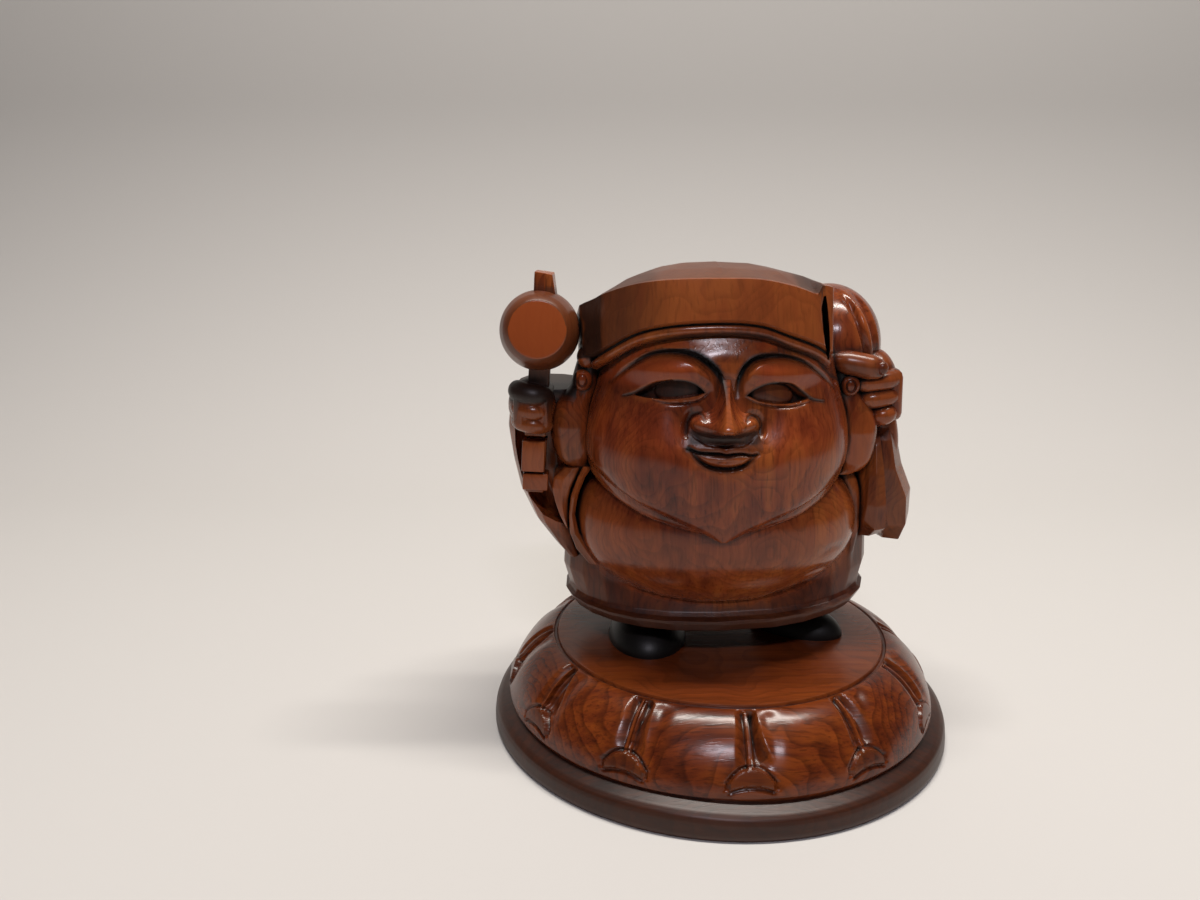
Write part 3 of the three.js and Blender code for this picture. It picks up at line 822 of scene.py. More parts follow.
def mallet_sleeve_forms():
    outside = follow([
        [24.6, -38], [32, -45.2], [41, -50.1], [50.5, -52.4], [57, -53.4], [65, -52.7], [71, -50],
    ])
    inside = follow([
        [33.4, -38], [34.4, -41.4], [36, -44], [38.1, -46.4], [41.2, -48.6], [44, -50],
        [50, -51.6], [57, -52.4], [63, -51.4],
    ])

    def wall(line, right, front, back):
        def ring(height, angle):
            left = line(height)
            middle = (left + right) / 2
            depth = (back - front) / 2
            return np.stack([
                middle + (right - left) / 2 * power(np.cos(angle), 0.8),
                front + depth + depth * power(np.sin(angle), 0.8),
                height,
            ], 1)
        return ring

    cloth = stacked(
        "sleeve_r",
        cut_rows([24.6, 28, 34, 42, 50, 58, 65, 69], wall(outside, -34, -12, 14), 16, 0.2, 6),
        3, 3,
    )
    hollow = stacked(
        "sleeve_hollow",
        cut_rows([33.4, 36, 40, 46, 54, 62], wall(inside, -37, -30, -2), 14, 0.1, 7),
        3, 2,
    )
    return united("sleeve_r", [cloth, hollow], "DIFFERENCE")


# The sack and the arm that holds it

def sack_form():
    gathers = 9

    def ring(height, angle):
        half = np.sqrt(np.clip(1 - ((height - 54) / 34) ** 2, 0, 1))
        fold = 1 + 0.035 * np.cos(gathers * angle) * half
        return np.stack([
            10 + 33 * half * fold * np.cos(angle),
            22 + 21 * half * fold * np.sin(angle),
            height,
        ], 1)

    heights = [20.6, 24, 31, 40, 50, 60, 70, 78, 84, 87.4]
    return stacked("sack", cut_rows(heights, ring, 2 * gathers, 0.12, 11), 3, 5)


def neck_form():
    neck = egg("sack_neck", (30.6, 4, 78.6), (13.4, 17, 15.6), 20, 12, 4)
    return scored(neck, 8, 1, 2, [
        ([(31.4, 92.5), (34.2, 89), (35.8, 84.6), (37.2, 80), (37.6, 76)], [0.1] + [1.5] * 4),
        ([(34.5, 92.4), (37.6, 88.6), (39.4, 84.2), (40.6, 79), (41, 75)], [0.1] + [0.8] * 4),
    ])


def sack_hand_forms():
    thumb = [(26.6, -10, 76.6), (32, -12.6, 76), (37.4, -13.4, 75), (41.4, -12.4, 74)]
    wrist = [(43.6, -2, 62), (45, -2, 55), (45.6, -2, 48)]
    forms = [
        egg("palm_l", (41.2, -3.6, 67.8), (6.2, 8.4, 10.6), 18),
        roll("thumb_l", thumb, [2.2, 3.1, 3.1, 2.4], 14, 12),
        egg("thumb_nail", (39.9, -15.3, 75), (1.5, 1.3, 1.7), 12, 8),
        roll("wrist_l", wrist, [4.2, 4.2, 4], 14),
        block("fist_l", (43, -5.6, 67.2), (8.6, 11.6, 13.4), -2, 2.2),
    ]
    for level, start in ((71, 33.6), (66.8, 35), (62.6, 38)):
        path = [(start, -8.6, level - 0.6), (start + 3.6, -11.4, level - 0.3),
                (43.6, -10, level + 0.3), (46.4, -3.6, level + 0.5)]
        forms.append(roll("finger_l", path, [2, 2.5, 2.5, 2], 14, 12))
    return forms


def sack_sleeve_form():
    """Hanging cloth in hard pleats: a front panel, a deep fold and an outer ridge."""
    return stacked("sleeve_l", [
        [(41.4, -9, 29.5), (43.6, -9.4, 30.4), (45.6, -7, 28.4), (49.6, -8, 28.2),
         (52.5, -2, 29.4), (52.8, 6, 30.5), (47, 12.6, 29), (36, 12.6, 27.5), (30, 3, 27),
         (37, -6, 28), (39.4, -8.6, 29.6)],
        [(41.6, -13, 32.4), (44.3, -13, 32.9), (45.9, -8.6, 32.4), (50.6, -9.8, 33),
         (53.4, -3, 34.4), (53.6, 6, 35.5), (48, 12.7, 34), (37, 12.7, 33), (30, 3, 33),
         (37, -7, 34), (38.9, -12, 34.8)],
        [(41.4, -13.6, 38.6), (44.1, -13.3, 39.2), (45.3, -8.8, 39.6), (50.2, -9.8, 40.2),
         (53.4, -3, 41), (53.2, 6, 42), (48, 12.4, 41), (37, 12.4, 40), (30, 3, 40),
         (37, -7, 40), (39.3, -12.6, 39)],
        [(41.3, -12.4, 47), (43.4, -12, 47.6), (43.9, -8.6, 47.6), (47.2, -9, 47.6),
         (50.6, -2.6, 47.8), (50.6, 6, 49), (46, 11.6, 48.6), (37, 11.6, 48), (30, 3, 48),
         (36.6, -7, 47), (39.8, -11.4, 47)],
        [(41.6, -9.4, 54.4), (42.8, -9.2, 54.8), (43, -7.8, 54.8), (46, -7.8, 55),
         (48.8, -2, 55.6), (48.6, 5, 56), (43, 10, 56), (37, 10, 56), (31, 3, 56),
         (37, -6, 54.6), (40.4, -8.8, 54.4)],
        [(41.8, -6, 58.4), (42.6, -6, 58.6), (43, -5.6, 58.8), (45.4, -5.4, 59),
         (47.6, -2, 59.4), (47.2, 4, 59.6), (42, 8, 59.6), (38, 8, 59.6), (33, 3, 59.4),
         (38, -4, 58.6), (41, -6, 58.4)],
    ], 4, 2)


# The carved figure

BROW_DARK = [0.3, 0.8, 1.4, 1.6, 1.4, 1.2, 1.1, 1, 0.8, 0.3]
MALLET_FACE_Z = 85.3
MALLET_FACE_RADIUS = 6.75


def figure_stain_and_shading(x, y, z):
    """How much darker the colour is painted, towards 1, or redder, towards -1: stain and black
    pigment, and painted shade and painted light where marked below.
    """
    from_belly = sum(
        ((value - middle) / radius) ** 2
        for value, middle, radius in zip((x, y, z), BELLY_AT, BELLY_RADII)
    )
    cloth = 1 - bump(np.clip(from_belly - 1, 0, None), 0.06)
    shoes = 1 - smooth_step(z, 6, 7.4)
    robe = (0.5 + 0.34 * bump(z - 10, 4)) * (1 - smooth_step(z, 30, 36)) * cloth
    cap_z = height_on_cap(x, y, z)
    on_cap = (z > 74) & (np.abs(x) < 35)
    # The crown is stained dark all over. Its left and right facets are painted darker still:
    # painted shade on the side facets.
    crown = 0.6 + 0.22 * smooth_step(x, 15, 17) + 0.16 * smooth_step(-x, 15, 18)
    crown *= smooth_step(cap_z, 12.9, 13.2) * on_cap * (x < 22.6)
    # The whole band is a little darker. Towards its left end and on its left side facet it is
    # painted darker still: painted shade, where that side turns away from the light.
    band_stain_and_shade = 0.1 + 0.54 * smooth_step(-x, 10, 25) + 0.26 * smooth_step(-x, 28.7, 29.2)
    band_stain_and_shade *= smooth_step(cap_z, 2.2, 2.6) * on_cap
    sleeve = 0.34 * (x > 39) * (z < 60) * (y > -16)
    thumb = 0.3 * (x > 25) * (y < -6) * smooth_step(z, 72, 73) * (z < 80)
    # Painted shadow of the mallet on the sleeve's top behind the fist.
    mallet_shadow = 0.95 * (x < -35) * smooth_step(z, 65.5, 68) * (z < 77)
    fist = 0.3 * (x < -40) * smooth_step(z, 56, 59) * (z < 77)
    off_nose = np.abs(x + 0.7)
    # Black pigment and painted shade under the nose, rising over the nose's lower part.
    nose_pigment_and_shade = 0.85 * (1 - smooth_step(off_nose, 7.4, 9.8)) * (y < -32)
    nose_pigment_and_shade *= smooth_step(z, 60 - 0.5 * smooth_step(off_nose, 4, 6), 60.6)
    nose_pigment_and_shade *= 1 - smooth_step(z, 62.8, 64.3)
    upper_lip = 0.45 * (off_nose < 9) * (y < -30) * bump(z - 59.6, 1.2)
    under_roll = 0.9 * (y < -12) * (z > 66) * (np.abs(x) < 31) * bump(cap_z + 0.15, 0.45)
    lines = np.zeros(len(x))
    face = (y < -18) & (z > 50) & (z < 82)
    for line, dark, wide in (
        (EYES[-1]["brow"], BROW_DARK, [1, 1.8, 1.8, 1.2, 0.6]),
        (EYES[1]["brow"], BROW_DARK, [1, 1.5, 1.5, 1.1, 0.6]),
        (EYES[-1]["upper"], [0.9, 1.1, 1.1, 1, 0.8], 0.7),
        (EYES[1]["upper"], [0.9, 1.1, 1.2, 1.1, 0.8], 0.8),
        *((eye["rim"], [0.3, 0.7, 0.7, 0.3], 0.4) for eye in EYES.values()),
        *((curl, [0.9, 0.9, 0.9, 0.8, 0.5], 0.7) for curl in NOSE_CURLS),
        (MOUTH_LINE, [1.2, 1.1, 1, 1, 1, 0.6], [1.4, 1.1, 1.1, 1]),
        (LIP_HOLLOW, [0.8, 1, 1, 0.9, 0.5], [1.3, 1.1, 1]),
    ):
        lines[face] = np.maximum(lines[face], gouge(x[face], z[face], line, dark, wide, wide))
    eyes = (0.85 * eye_slit(x, z, -1) + 0.5 * eye_slit(x, z, 1)) * (y < -20)
    lobe = (np.abs(x) > 33.6) * (np.abs(x) < 41.6) * (z > 47.5) * (z < 64) * (y < -9)
    stain = np.maximum.reduce([
        shoes, robe, crown, band_stain_and_shade, sleeve, thumb, mallet_shadow, fist, nose_pigment_and_shade,
        upper_lip, under_roll, eyes, lines, 0.25 * lobe * (x < 0),
    ])
    # Painted light on the temples under the cap's edge, which the cap shades: they are painted
    # lighter and redder. The cheeks and the right lobe are made redder as well.
    lit_temples = (y < -12) * (z < 84) * (cap_z < -0.3) * smooth_step(z, 71, 74)
    lit_temples = lit_temples * smooth_step(off_nose, 5, 10)
    cheeks = (y < -20) * bump(z - 62, 8) * smooth_step(off_nose, 9, 13)
    red_and_lit = 0.6 * lit_temples + 0.2 * cheeks + 0.3 * lobe * (x > 0)
    stain -= red_and_lit * (1 - np.clip(stain * 1.6, 0, 1))
    from_mallet = x - MALLET_AT[0]
    mallet = (np.abs(y - MALLET_AT[1]) < 12.5) & (np.hypot(from_mallet, z - MALLET_AT[2]) < 11)
    end = (y < -17) & (np.hypot(from_mallet, z - MALLET_FACE_Z) < MALLET_FACE_RADIUS)
    dents = bump(x + 44.9, 1.3) * bump(z - 89.4, 0.5) + bump(x + 38.6, 0.5) * bump(z - 84.6, 1.2)
    return np.where(mallet, np.where(end, dents * 1.6 - 0.8, 0.55), stain)


def carve_figure(sizes):
    head = united("head", [head_form(), nose_form()])
    cap = united("cap", cap_forms())
    cap = united("cap", [cap, cap_notch()], "DIFFERENCE")
    forms = [
        head, cap, chin_roll_form(), *ear_forms(-1), *ear_forms(1), belly_form(),
        *robe_forms(), *shoe_forms(), *mallet_forms(), *mallet_hand_forms(),
        mallet_sleeve_forms(), sack_form(), neck_form(), *sack_hand_forms(), sack_sleeve_form(),
    ]
    figure = united("carved_figure", forms)
    modified(figure, "TRIANGULATE")
    count = len(figure.data.polygons)
    if count > sizes.figure_faces:
        modified(figure, "DECIMATE", ratio=sizes.figure_faces / count)
    points = points_of(figure)
    # Kept with the stain: painted shade and painted light as well as stain and pigment.
    keep_value(figure, "stain", figure_stain_and_shading(*points.T))
    return move_points(figure, points * PART + FIGURE_AT)


# The round base, a grid of points wrapped round its profile

STEMS = 12
STEM_TURN = 1.5
BASE_RADIUS = BASE_HIGH.x
BASE_HEIGHT = BASE_HIGH.z
TOP_RADIUS = 64.2 * MM
GROOVE_WIDTH = 1.8 * MM
GROOVE_DEPTH = 1.3 * MM
LIP_HEIGHT = 7.2 * MM
LIP_SLOPE = 5.8 * MM
LIP_RISE = 5.2 * MM
DOME_FULLNESS = 1.55
CRESCENT_AT = 0.76
COLUMN_CROWDING = 0.62
LIP_STAIN = 0.74
TOP_STAIN = -0.35


def dome_points(share):
    """The cushioned band's profile, from its top edge to its foot: radius and height."""
    top_radius = TOP_RADIUS + GROOVE_WIDTH
    foot_radius = BASE_RADIUS - LIP_SLOPE
    top = BASE_HEIGHT - GROOVE_DEPTH / 2
    foot = LIP_HEIGHT + LIP_RISE
    angle = np.asarray(share) * math.pi / 2
    out = np.sin(angle) ** (2 / DOME_FULLNESS)
    up = np.cos(angle) ** (2 / DOME_FULLNESS)
    return np.stack([top_radius + (foot_radius - top_radius) * out, foot + (top - foot) * up], -1)


def stepped(corners, counts):
    """Points along the straight runs between corners, so many to each run."""
    rows = []
    for a, b, count in zip(corners, corners[1:], counts):
        t = np.arange(count)[:, None] / count
        rows.append(np.array(a) * (1 - t) + np.array(b) * t)
    return np.vstack([*rows, corners[-1]])


def base_profile(rows):
    """Rows of the whole profile, from the middle of the underside to that of the top, and
    each row's share along the dome, or -1 off it."""
    edge = BASE_RADIUS
    lip = stepped([
        (0, 0), (edge - 2 * MM, 0), (edge - 0.6 * MM, 0.3 * MM), (edge, 1.4 * MM),
        (edge, LIP_HEIGHT - 1.6 * MM), (edge - 0.7 * MM, LIP_HEIGHT + 0.4 * MM),
        (edge - 2.2 * MM, LIP_HEIGHT + 1.7 * MM),
        (edge - LIP_SLOPE - 0.6 * MM, LIP_HEIGHT + 3.6 * MM),
    ], [3, 2, 2, 3, 3, 3, 6])
    top = stepped([
        (TOP_RADIUS + GROOVE_WIDTH * 0.75, BASE_HEIGHT - GROOVE_DEPTH),
        (TOP_RADIUS + GROOVE_WIDTH * 0.35, BASE_HEIGHT - GROOVE_DEPTH),
        (TOP_RADIUS, BASE_HEIGHT - 0.15 * MM), (TOP_RADIUS - 0.5 * MM, BASE_HEIGHT),
        (0, BASE_HEIGHT),
    ], [2, 2, 2, 5])
    shares = np.linspace(1, 0, rows)
    profile = np.vstack([lip, dome_points(shares), top])
    return profile, np.concatenate([[-1.0] * len(lip), shares, [-1.0] * len(top)])


def crescent_mask(across, up, grow=0.0):
    """1 on a fat crescent with blunt horns pointing down, sizes in millimetres."""
    half = 7.5 + grow
    t = np.clip(np.abs(across) / half, 0, 1)
    top = -1.4 + (4.6 + grow) * (1 - t ** 2.4)
    foot = -3.9 + 1.7 * (1 - t ** 2)
    inside = np.minimum(np.minimum(top - up, up - foot), half - np.abs(across))
    return smooth_step(inside, -0.5, 0.35)


def base_relief(share, across, up, panel):
    """How far the dome's surface stands out or is cut in, in millimetres, and how much
    darker it is painted there, with painted shade on the cut facets beside the stems. panel
    holds a few chance numbers for each panel, so that no two are cut alike."""
    fade = smooth_step(share, 0.0, 0.1) * (1 - smooth_step(share, 0.84, 1.0))
    fade *= 1 - smooth_step(share, 0.56, 0.74)
    lean = 0.8 + 0.7 * panel[0]
    wave = 0.8 * np.sin(7 * share + 6 * panel[1]) + 1.2 * panel[1]
    cut_right = np.clip((2.6 + 6.6 * share + wave - across) / (1.6 + 5 * share), 0, 1)
    cut_right *= across > 0
    cut_left = np.clip((3 + 2.4 * share + 1.4 * panel[2] + across) / (2 + 3 * share), 0, 1)
    cut_left *= across <= 0
    out = -(2.6 * lean * cut_right ** 1.15 + 2.0 * cut_left ** 1.3) * fade
    chisel = smooth_step(share, 0.02, 0.2) * (1 - smooth_step(share, 0.6, 0.95))
    out -= 0.9 * bump(across - 7.5, 3.4) * chisel
    stem = smooth_step(0.75 + 0.55 * share - np.abs(across), -0.7, 0.3)
    stem *= smooth_step(share, 0.03, 0.08) * (1 - smooth_step(share, 0.66, 0.72))
    out += 1.5 * stem
    crescent = crescent_mask(across, up)
    moat = crescent_mask(across, up, 1.3) * (1 - crescent)
    below = crescent_mask(across, up + 1.1) * (1 - crescent) * (up < 0)
    # Painted shade: the cut facets beside each stem are painted darker, the right-hand ones most.
    facet_shade = smooth_step(np.maximum(cut_right * 1.1, cut_left * 0.7) * fade, 0.12, 0.5)
    darker = 0.34 * facet_shade * (1 - stem) * (1 - crescent) + 0.3 * crescent
    return out * (1 - crescent) + crescent * 0.55 - 0.8 * moat - 0.6 * below, darker


def carve_base(sizes):
    columns = STEMS * sizes.panel_columns
    profile, shares = base_profile(sizes.dome_rows)
    last = len(profile) - 1
    grid = bpy.ops.mesh.primitive_grid_add
    base = added("carved_base", grid, x_subdivisions=columns, y_subdivisions=last, size=2)
    column, row = np.rint((points_of(base)[:, :2] + 1) / 2 * (columns, last)).astype(int).T
    even = column / sizes.panel_columns
    pitch_share = even % 1
    crowding = COLUMN_CROWDING * np.sin(2 * math.pi * pitch_share) / (2 * math.pi)
    crowded = pitch_share - crowding
    angle = (np.floor(even) + crowded) * 2 * math.pi / STEMS
    angle += math.radians(STEM_TURN) - math.pi / 2
    radius, height = profile[row].T
    share = shares[row]
    away = (crowded + 0.5) % 1 - 0.5
    across = away * 2 * math.pi / STEMS * radius / MM
    slope = np.gradient(profile, axis=0)
    slope /= np.linalg.norm(slope, axis=1)[:, None] + 1e-12
    length = np.concatenate([[0], np.cumsum(np.linalg.norm(np.diff(profile, axis=0), axis=1))])
    middle = np.interp(CRESCENT_AT, shares[shares >= 0][::-1], length[shares >= 0][::-1])
    up = (length[row] - middle) / MM
    dome = share >= 0
    chance = np.random.default_rng(4).uniform(0, 1, (3, STEMS))
    panel = chance[:, np.rint(even).astype(int)[dome] % STEMS]
    relief, stain = np.zeros((2, len(share)))
    relief[dome], stain[dome] = base_relief(share[dome], across[dome], up[dome], panel)
    relief *= MM
    outside = (share < 0) & (radius > TOP_RADIUS * 1.2)
    lip = outside & (height > 3 * MM)
    wobble = 0.35 * MM * np.sin(3 * angle + 1) + 0.25 * MM * np.sin(7 * angle + 2)
    out_r = radius + relief * slope[row, 1] - 0.3 * MM * lip
    out_z = height - relief * slope[row, 0] + np.where(lip, wobble, 0)
    move_points(base, np.stack([out_r * np.cos(angle), out_r * np.sin(angle), out_z], 1))
    stain[outside] = LIP_STAIN
    stain[radius < TOP_RADIUS * 0.99] = TOP_STAIN
    keep_value(base, "stain", stain)
    only(base)
    bpy.ops.object.mode_set(mode="EDIT")
    bpy.ops.mesh.select_all(action="SELECT")
    bpy.ops.mesh.remove_doubles(threshold=1e-6)
    bpy.ops.mesh.normals_make_consistent(inside=False)
    bpy.ops.object.mode_set(mode="OBJECT")
    return base


# Wear and dirt, kept on the points for the finish to read

PROUD_AT = 0.3 * MM
WEAR_RAYS = 24
SMOOTH_UNDER = math.radians(38)


def neighbour_mean(piece, values, rounds):
    """Values averaged with those of the points beside, a few times over."""
    edges = np.empty(len(piece.data.edges) * 2, np.int32)
    piece.data.edges.foreach_get("vertices", edges)
    a, b = edges.reshape(-1, 2).T
    total = lambda ends, shares=None: np.bincount(ends, shares, len(values))
    count = total(a) + total(b)
    flat = values.reshape(len(values), -1)
    for _ in range(rounds):
        beside_it = [total(a, column[b]) + total(b, column[a]) for column in flat.T]
        flat = (flat + np.stack(beside_it, 1)) / (count + 1)[:, None]
    return flat.reshape(values.shape)


def keep_value(piece, name, values):
    attribute = piece.data.attributes.new(name, "FLOAT", "POINT")
    attribute.data.foreach_set("value", np.asarray(values, np.float32))


def note_wear(piece, reach, rays):
    """Notes how shut in every point is, within a reach, and how proud it stands."""
    tree = BVHTree.FromObject(piece, bpy.context.evaluated_depsgraph_get())
    points = points_of(piece)
    normals = normals_of(piece)
    turns = np.arange(rays) * math.pi * (3 - math.sqrt(5))
    lift = 1 - (np.arange(rays) + 0.5) / rays * 0.92
    spread = np.sqrt(1 - lift ** 2)
    axis = np.where(np.abs(normals[:, 2:]) < 0.9, [[0, 0, 1.0]], [[1.0, 0, 0]])
    aside = np.cross(normals, axis)
    aside /= np.linalg.norm(aside, axis=1)[:, None]
    other = np.cross(normals, aside)
    shut = np.zeros(len(points))
    starts = (points + normals * 0.05 * MM).tolist()
    for k in range(rays):
        ways = (
            normals * lift[k]
            + aside * spread[k] * math.cos(turns[k])
            + other * spread[k] * math.sin(turns[k])
        )
        for i, (start, way) in enumerate(zip(starts, ways.tolist())):
            distance = tree.ray_cast(start, way, reach)[3]
            if distance is not None:
                shut[i] += 1 - distance / reach
    keep_value(piece, "shut_in", neighbour_mean(piece, shut / rays, 1))
    smooth = neighbour_mean(piece, points, 12)
    proud = ((points - smooth) * normals).sum(1) / PROUD_AT
    keep_value(piece, "proud", neighbour_mean(piece, np.clip(proud, -1, 1), 1))


# Finishes. Noise is set by its waves to the metre: the grain sways over about 38 mm, the
# stain is cloudy over 19 mm and patchy over 42 mm, and the tool marks are 8 mm wide. Streaks
# and pores are 3 to 5 mm and 0.8 to 0.9 mm wide and run up the grain, wider than real pores,
# so that they show.

SWAY_NOISE = 26.0
CLOUD_NOISE = 52.0
PATCH_NOISE = 24.0
TOOL_NOISE = 120.0


def linear(code):
    """An sRGB hex colour as Blender's linear one."""
    parts = [int(code[i:i + 2], 16) / 255 for i in (1, 3, 5)]
    return tuple(c / 12.92 if c <= 0.04045 else ((c + 0.055) / 1.055) ** 2.4 for c in parts) + (1,)


def node(tree, kind, settings=None, out=0, stops=(), **inputs):
    """Adds a node with its settings, its inputs as values or as links, i0 the first of them,
    and a ramp's stops. Gives one of its outputs."""
    new = tree.nodes.new("ShaderNode" + kind)
    for key, value in (settings or {}).items():
        setattr(new, key, value)
    for key, value in inputs.items():
        by_number = key[0] == "i" and key[1:].isdigit()
        socket = new.inputs[int(key[1:]) if by_number else key]
        if isinstance(value, bpy.types.NodeSocket):
            tree.links.new(value, socket)
        else:
            socket.default_value = value
    elements = new.color_ramp.elements if stops else ()
    while len(elements) < len(stops):
        elements.new(0.5)
    for element, (place, colour) in zip(elements, stops):
        element.position = place
        element.color = linear(colour) if isinstance(colour, str) else (colour,) * 3 + (1,)
    return new.outputs[out] if new.outputs else None


def carved_wood(name, look):
    """Close-grained keyaki, cut with gouges, stained red-brown, rubbed with black pigment
    that stays in the cuts, and lacquered: fine rings, dark hollows, warm high places and a
    soft wet gloss."""
    material = bpy.data.materials.new(name)
    material.use_nodes = True
    tree = material.node_tree
    tree.nodes.clear()
    add = partial(node, tree)
    place = add("TexCoord", out="Object")
    at = add("Mapping", i0=place, Location=look["pith"], Rotation=look["turn"])
    sway = add("TexNoise", out="Color", Vector=at, Scale=SWAY_NOISE, Detail=2.0)
    swayed, eased = (
        add("MixRGB", {"blend_type": "LINEAR_LIGHT"}, i0=amount, i1=at, i2=sway)
        for amount in (look["sway"], look["sway"] * 0.25)
    )
    streak_at, pore_at = (add("Mapping", i0=eased, Scale=look[key]) for key in ("streak", "pore"))
    streak, pores, cloud, patch, tool_marks = (
        add("TexNoise", Vector=where, Scale=scale, Detail=detail, Roughness=rough)
        for where, scale, detail, rough in (
            (streak_at, 1.0, 4.0, 0.6),
            (pore_at, 1.0, 2.0, 0.5),
            (at, CLOUD_NOISE, 5.0, 0.6),
            (swayed, PATCH_NOISE, 3.0, 0.55),
            (at, TOOL_NOISE, 2.0, 0.5),
        )
    )
    rings = add(
        "TexWave", {"wave_type": "RINGS", "rings_direction": "Z", "wave_profile": "SAW"}, "Fac",
        Vector=swayed, Scale=2 * math.pi / (20 * look["ring"]), Distortion=1.5, Detail=2.0,
        **{"Detail Scale": 1.2},
    )
    stain, proud, shut = (
        add("Attribute", {"attribute_name": key}, "Fac") for key in ("stain", "proud", "shut_in")
    )
    mottle = add("MixRGB", i0=look["streak_show"], i1=patch, i2=streak)
    ring_line = add("ValToRGB", i0=rings, stops=[(0, 0.0), (0.55, 0.3), (0.9, 1.0), (1, 0.1)])
    pore_line = add("ValToRGB", i0=pores, stops=[(0.52, 0.0), (0.68, 1.0)])
    # Where the attribute is below zero, the colour turns redder and lighter; on the temples this
    # is painted light.
    redder_and_lit = add("Math", {"operation": "MULTIPLY", "use_clamp": True}, i0=stain, i1=-1.0)
    uneven = add("Math", {"operation": "MULTIPLY_ADD"}, i0=cloud, i1=0.22, i2=-0.11)
    dirt = add("Math", {"operation": "ADD"}, i0=shut, i1=uneven)
    soiled = add("ValToRGB", i0=dirt, stops=[(0.17, 0.0), (0.32, 0.36), (0.47, 0.9), (0.6, 1.0)])
    rubbed = add("Math", {"operation": "MULTIPLY_ADD"}, i0=redder_and_lit, i1=-0.6, i2=soiled)
    # The near-black colour takes both the black pigment and the painted shade held in the
    # attribute.
    dark = add("Math", {"operation": "MAXIMUM", "use_clamp": True}, i0=rubbed, i1=stain)
    colour = add("ValToRGB", i0=mottle, stops=[
        (0.3, look["deep"]), (0.41, look["body"]), (0.51, look["warm"]), (0.63, look["light"]),
    ])
    for blend, amount, over in (
        ("MULTIPLY", look["ring_show"], add("ValToRGB", i0=ring_line, stops=[(0, 1.0), (1, 0.4)])),
        ("MULTIPLY", 0.6, add("ValToRGB", i0=pore_line, stops=[(0, 1.0), (1, 0.4)])),
        ("MULTIPLY", look["cloud"], add("ValToRGB", i0=cloud, stops=[(0.36, 0.45), (0.56, 1.0)])),
        ("MIX", redder_and_lit, linear(look["red_and_lit"])),
        ("MIX", add("ValToRGB", i0=proud, stops=[(0.25, 0.0), (0.9, 0.45)]), linear(look["worn"])),
        ("MIX", dark, linear(look["pigment_and_shade"])),
    ):
        colour = add("MixRGB", {"blend_type": blend}, i0=amount, i1=colour, i2=over)
    rough = add("ValToRGB", i0=dark, stops=[(0.05, look["rough"]), (0.95, 0.45)])
    grain = add("Bump", Strength=0.12, Distance=0.1 * MM, Height=pore_line)
    surface = add("Bump", Strength=0.35, Distance=0.25 * MM, Height=tool_marks, Normal=grain)
    shader = add(
        "BsdfPrincipled", Roughness=rough, Normal=surface, IOR=1.5,
        **{"Base Color": colour, "Specular IOR Level": 0.4},
    )
    add("OutputMaterial", Surface=shader)
    return material


# Where the pith lies and how it leans, the rings' distance, the streaks and pores in waves to
# the metre, how much of each shows, and the colours from the deepest to the lightest
FIGURE_LOOK = {
    "pith": (0.0, -0.062, 0.0), "turn": (0.05, 0.04, 0.0), "sway": 0.016, "ring": 1.7 * MM,
    "streak": (210, 210, 12), "pore": (1100, 1100, 60), "streak_show": 0.42,
    "ring_show": 0.5, "cloud": 0.3, "deep": "#451a0f", "body": "#672b16", "warm": "#863f1e",
    "light": "#9b5326", "worn": "#995026", "red_and_lit": "#8f3a1a", "pigment_and_shade": "#0f0c0b", "rough": 0.19,
}
BASE_LOOK = {
    "pith": (0.0, 0.03, 0.05), "turn": (0.0, 1.5708, 0.0), "sway": 0.012, "ring": 2.4 * MM,
    "streak": (300, 300, 9), "pore": (1300, 1300, 45), "streak_show": 0.5,
    "ring_show": 0.75, "cloud": 0.12, "deep": "#38140a", "body": "#4e1e0c", "warm": "#662b0f",
    "light": "#7c3a13", "worn": "#6e3512", "red_and_lit": "#84401f", "pigment_and_shade": "#0e0a08", "rough": 0.24,
}


# Registered parts

class DAIKOKU_PG_sizes(bpy.types.PropertyGroup):
    """Sizes of the carving."""

    figure_faces: IntProperty(
        name="Figure faces", description="Triangles that the carved figure keeps",
        default=190000, min=20000, max=199000,
    )
    panel_columns: IntProperty(
        name="Panel columns", description="Columns of faces across one panel of the base",
        default=66, min=20, max=80,
    )
    dome_rows: IntProperty(
        name="Dome rows", description="Rows of faces down the cushioned band",
        default=84, min=20, max=120,
    )
    dirt_reach: FloatProperty(
        name="Dirt reach", description="How far off a wall still shuts a hollow in",
        default=6 * MM, min=1 * MM, max=30 * MM, unit="LENGTH",
    )


class DAIKOKU_PG_stage(bpy.types.PropertyGroup):
    """The table and the light."""

    floor_colour: FloatVectorProperty(
        name="Floor", description="Colour of the table and the wall behind it",
        default=linear("#c8c5c2")[:3], size=3, subtype="COLOR", min=0, max=1,
    )
    light_power: FloatProperty(
        name="Light", description="Strength of the light, a share of it to each tube",
        default=14.0, min=0, unit="POWER",
    )


def finish_piece(piece, look, name, node_name):
    only(piece)
    bpy.ops.object.shade_smooth_by_angle(angle=SMOOTH_UNDER)
    reach = bpy.context.scene.daikoku_sizes.dirt_reach
    note_wear(piece, reach, WEAR_RAYS)
    piece.data.materials.clear()
    piece.data.materials.append(carved_wood(name, look))
    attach(piece, "root")
    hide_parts(node_name)


class DAIKOKU_OT_carve_figure(bpy.types.Operator):
    """Carves the lucky god with mallet and sack"""

    bl_idname = "daikoku.carve_figure"
    bl_label = "Carve figure"

    def execute(self, context):
        figure = carve_figure(context.scene.daikoku_sizes)
        finish_piece(figure, FIGURE_LOOK, "stained_carved_keyaki", FIGURE)
        return {"FINISHED"}


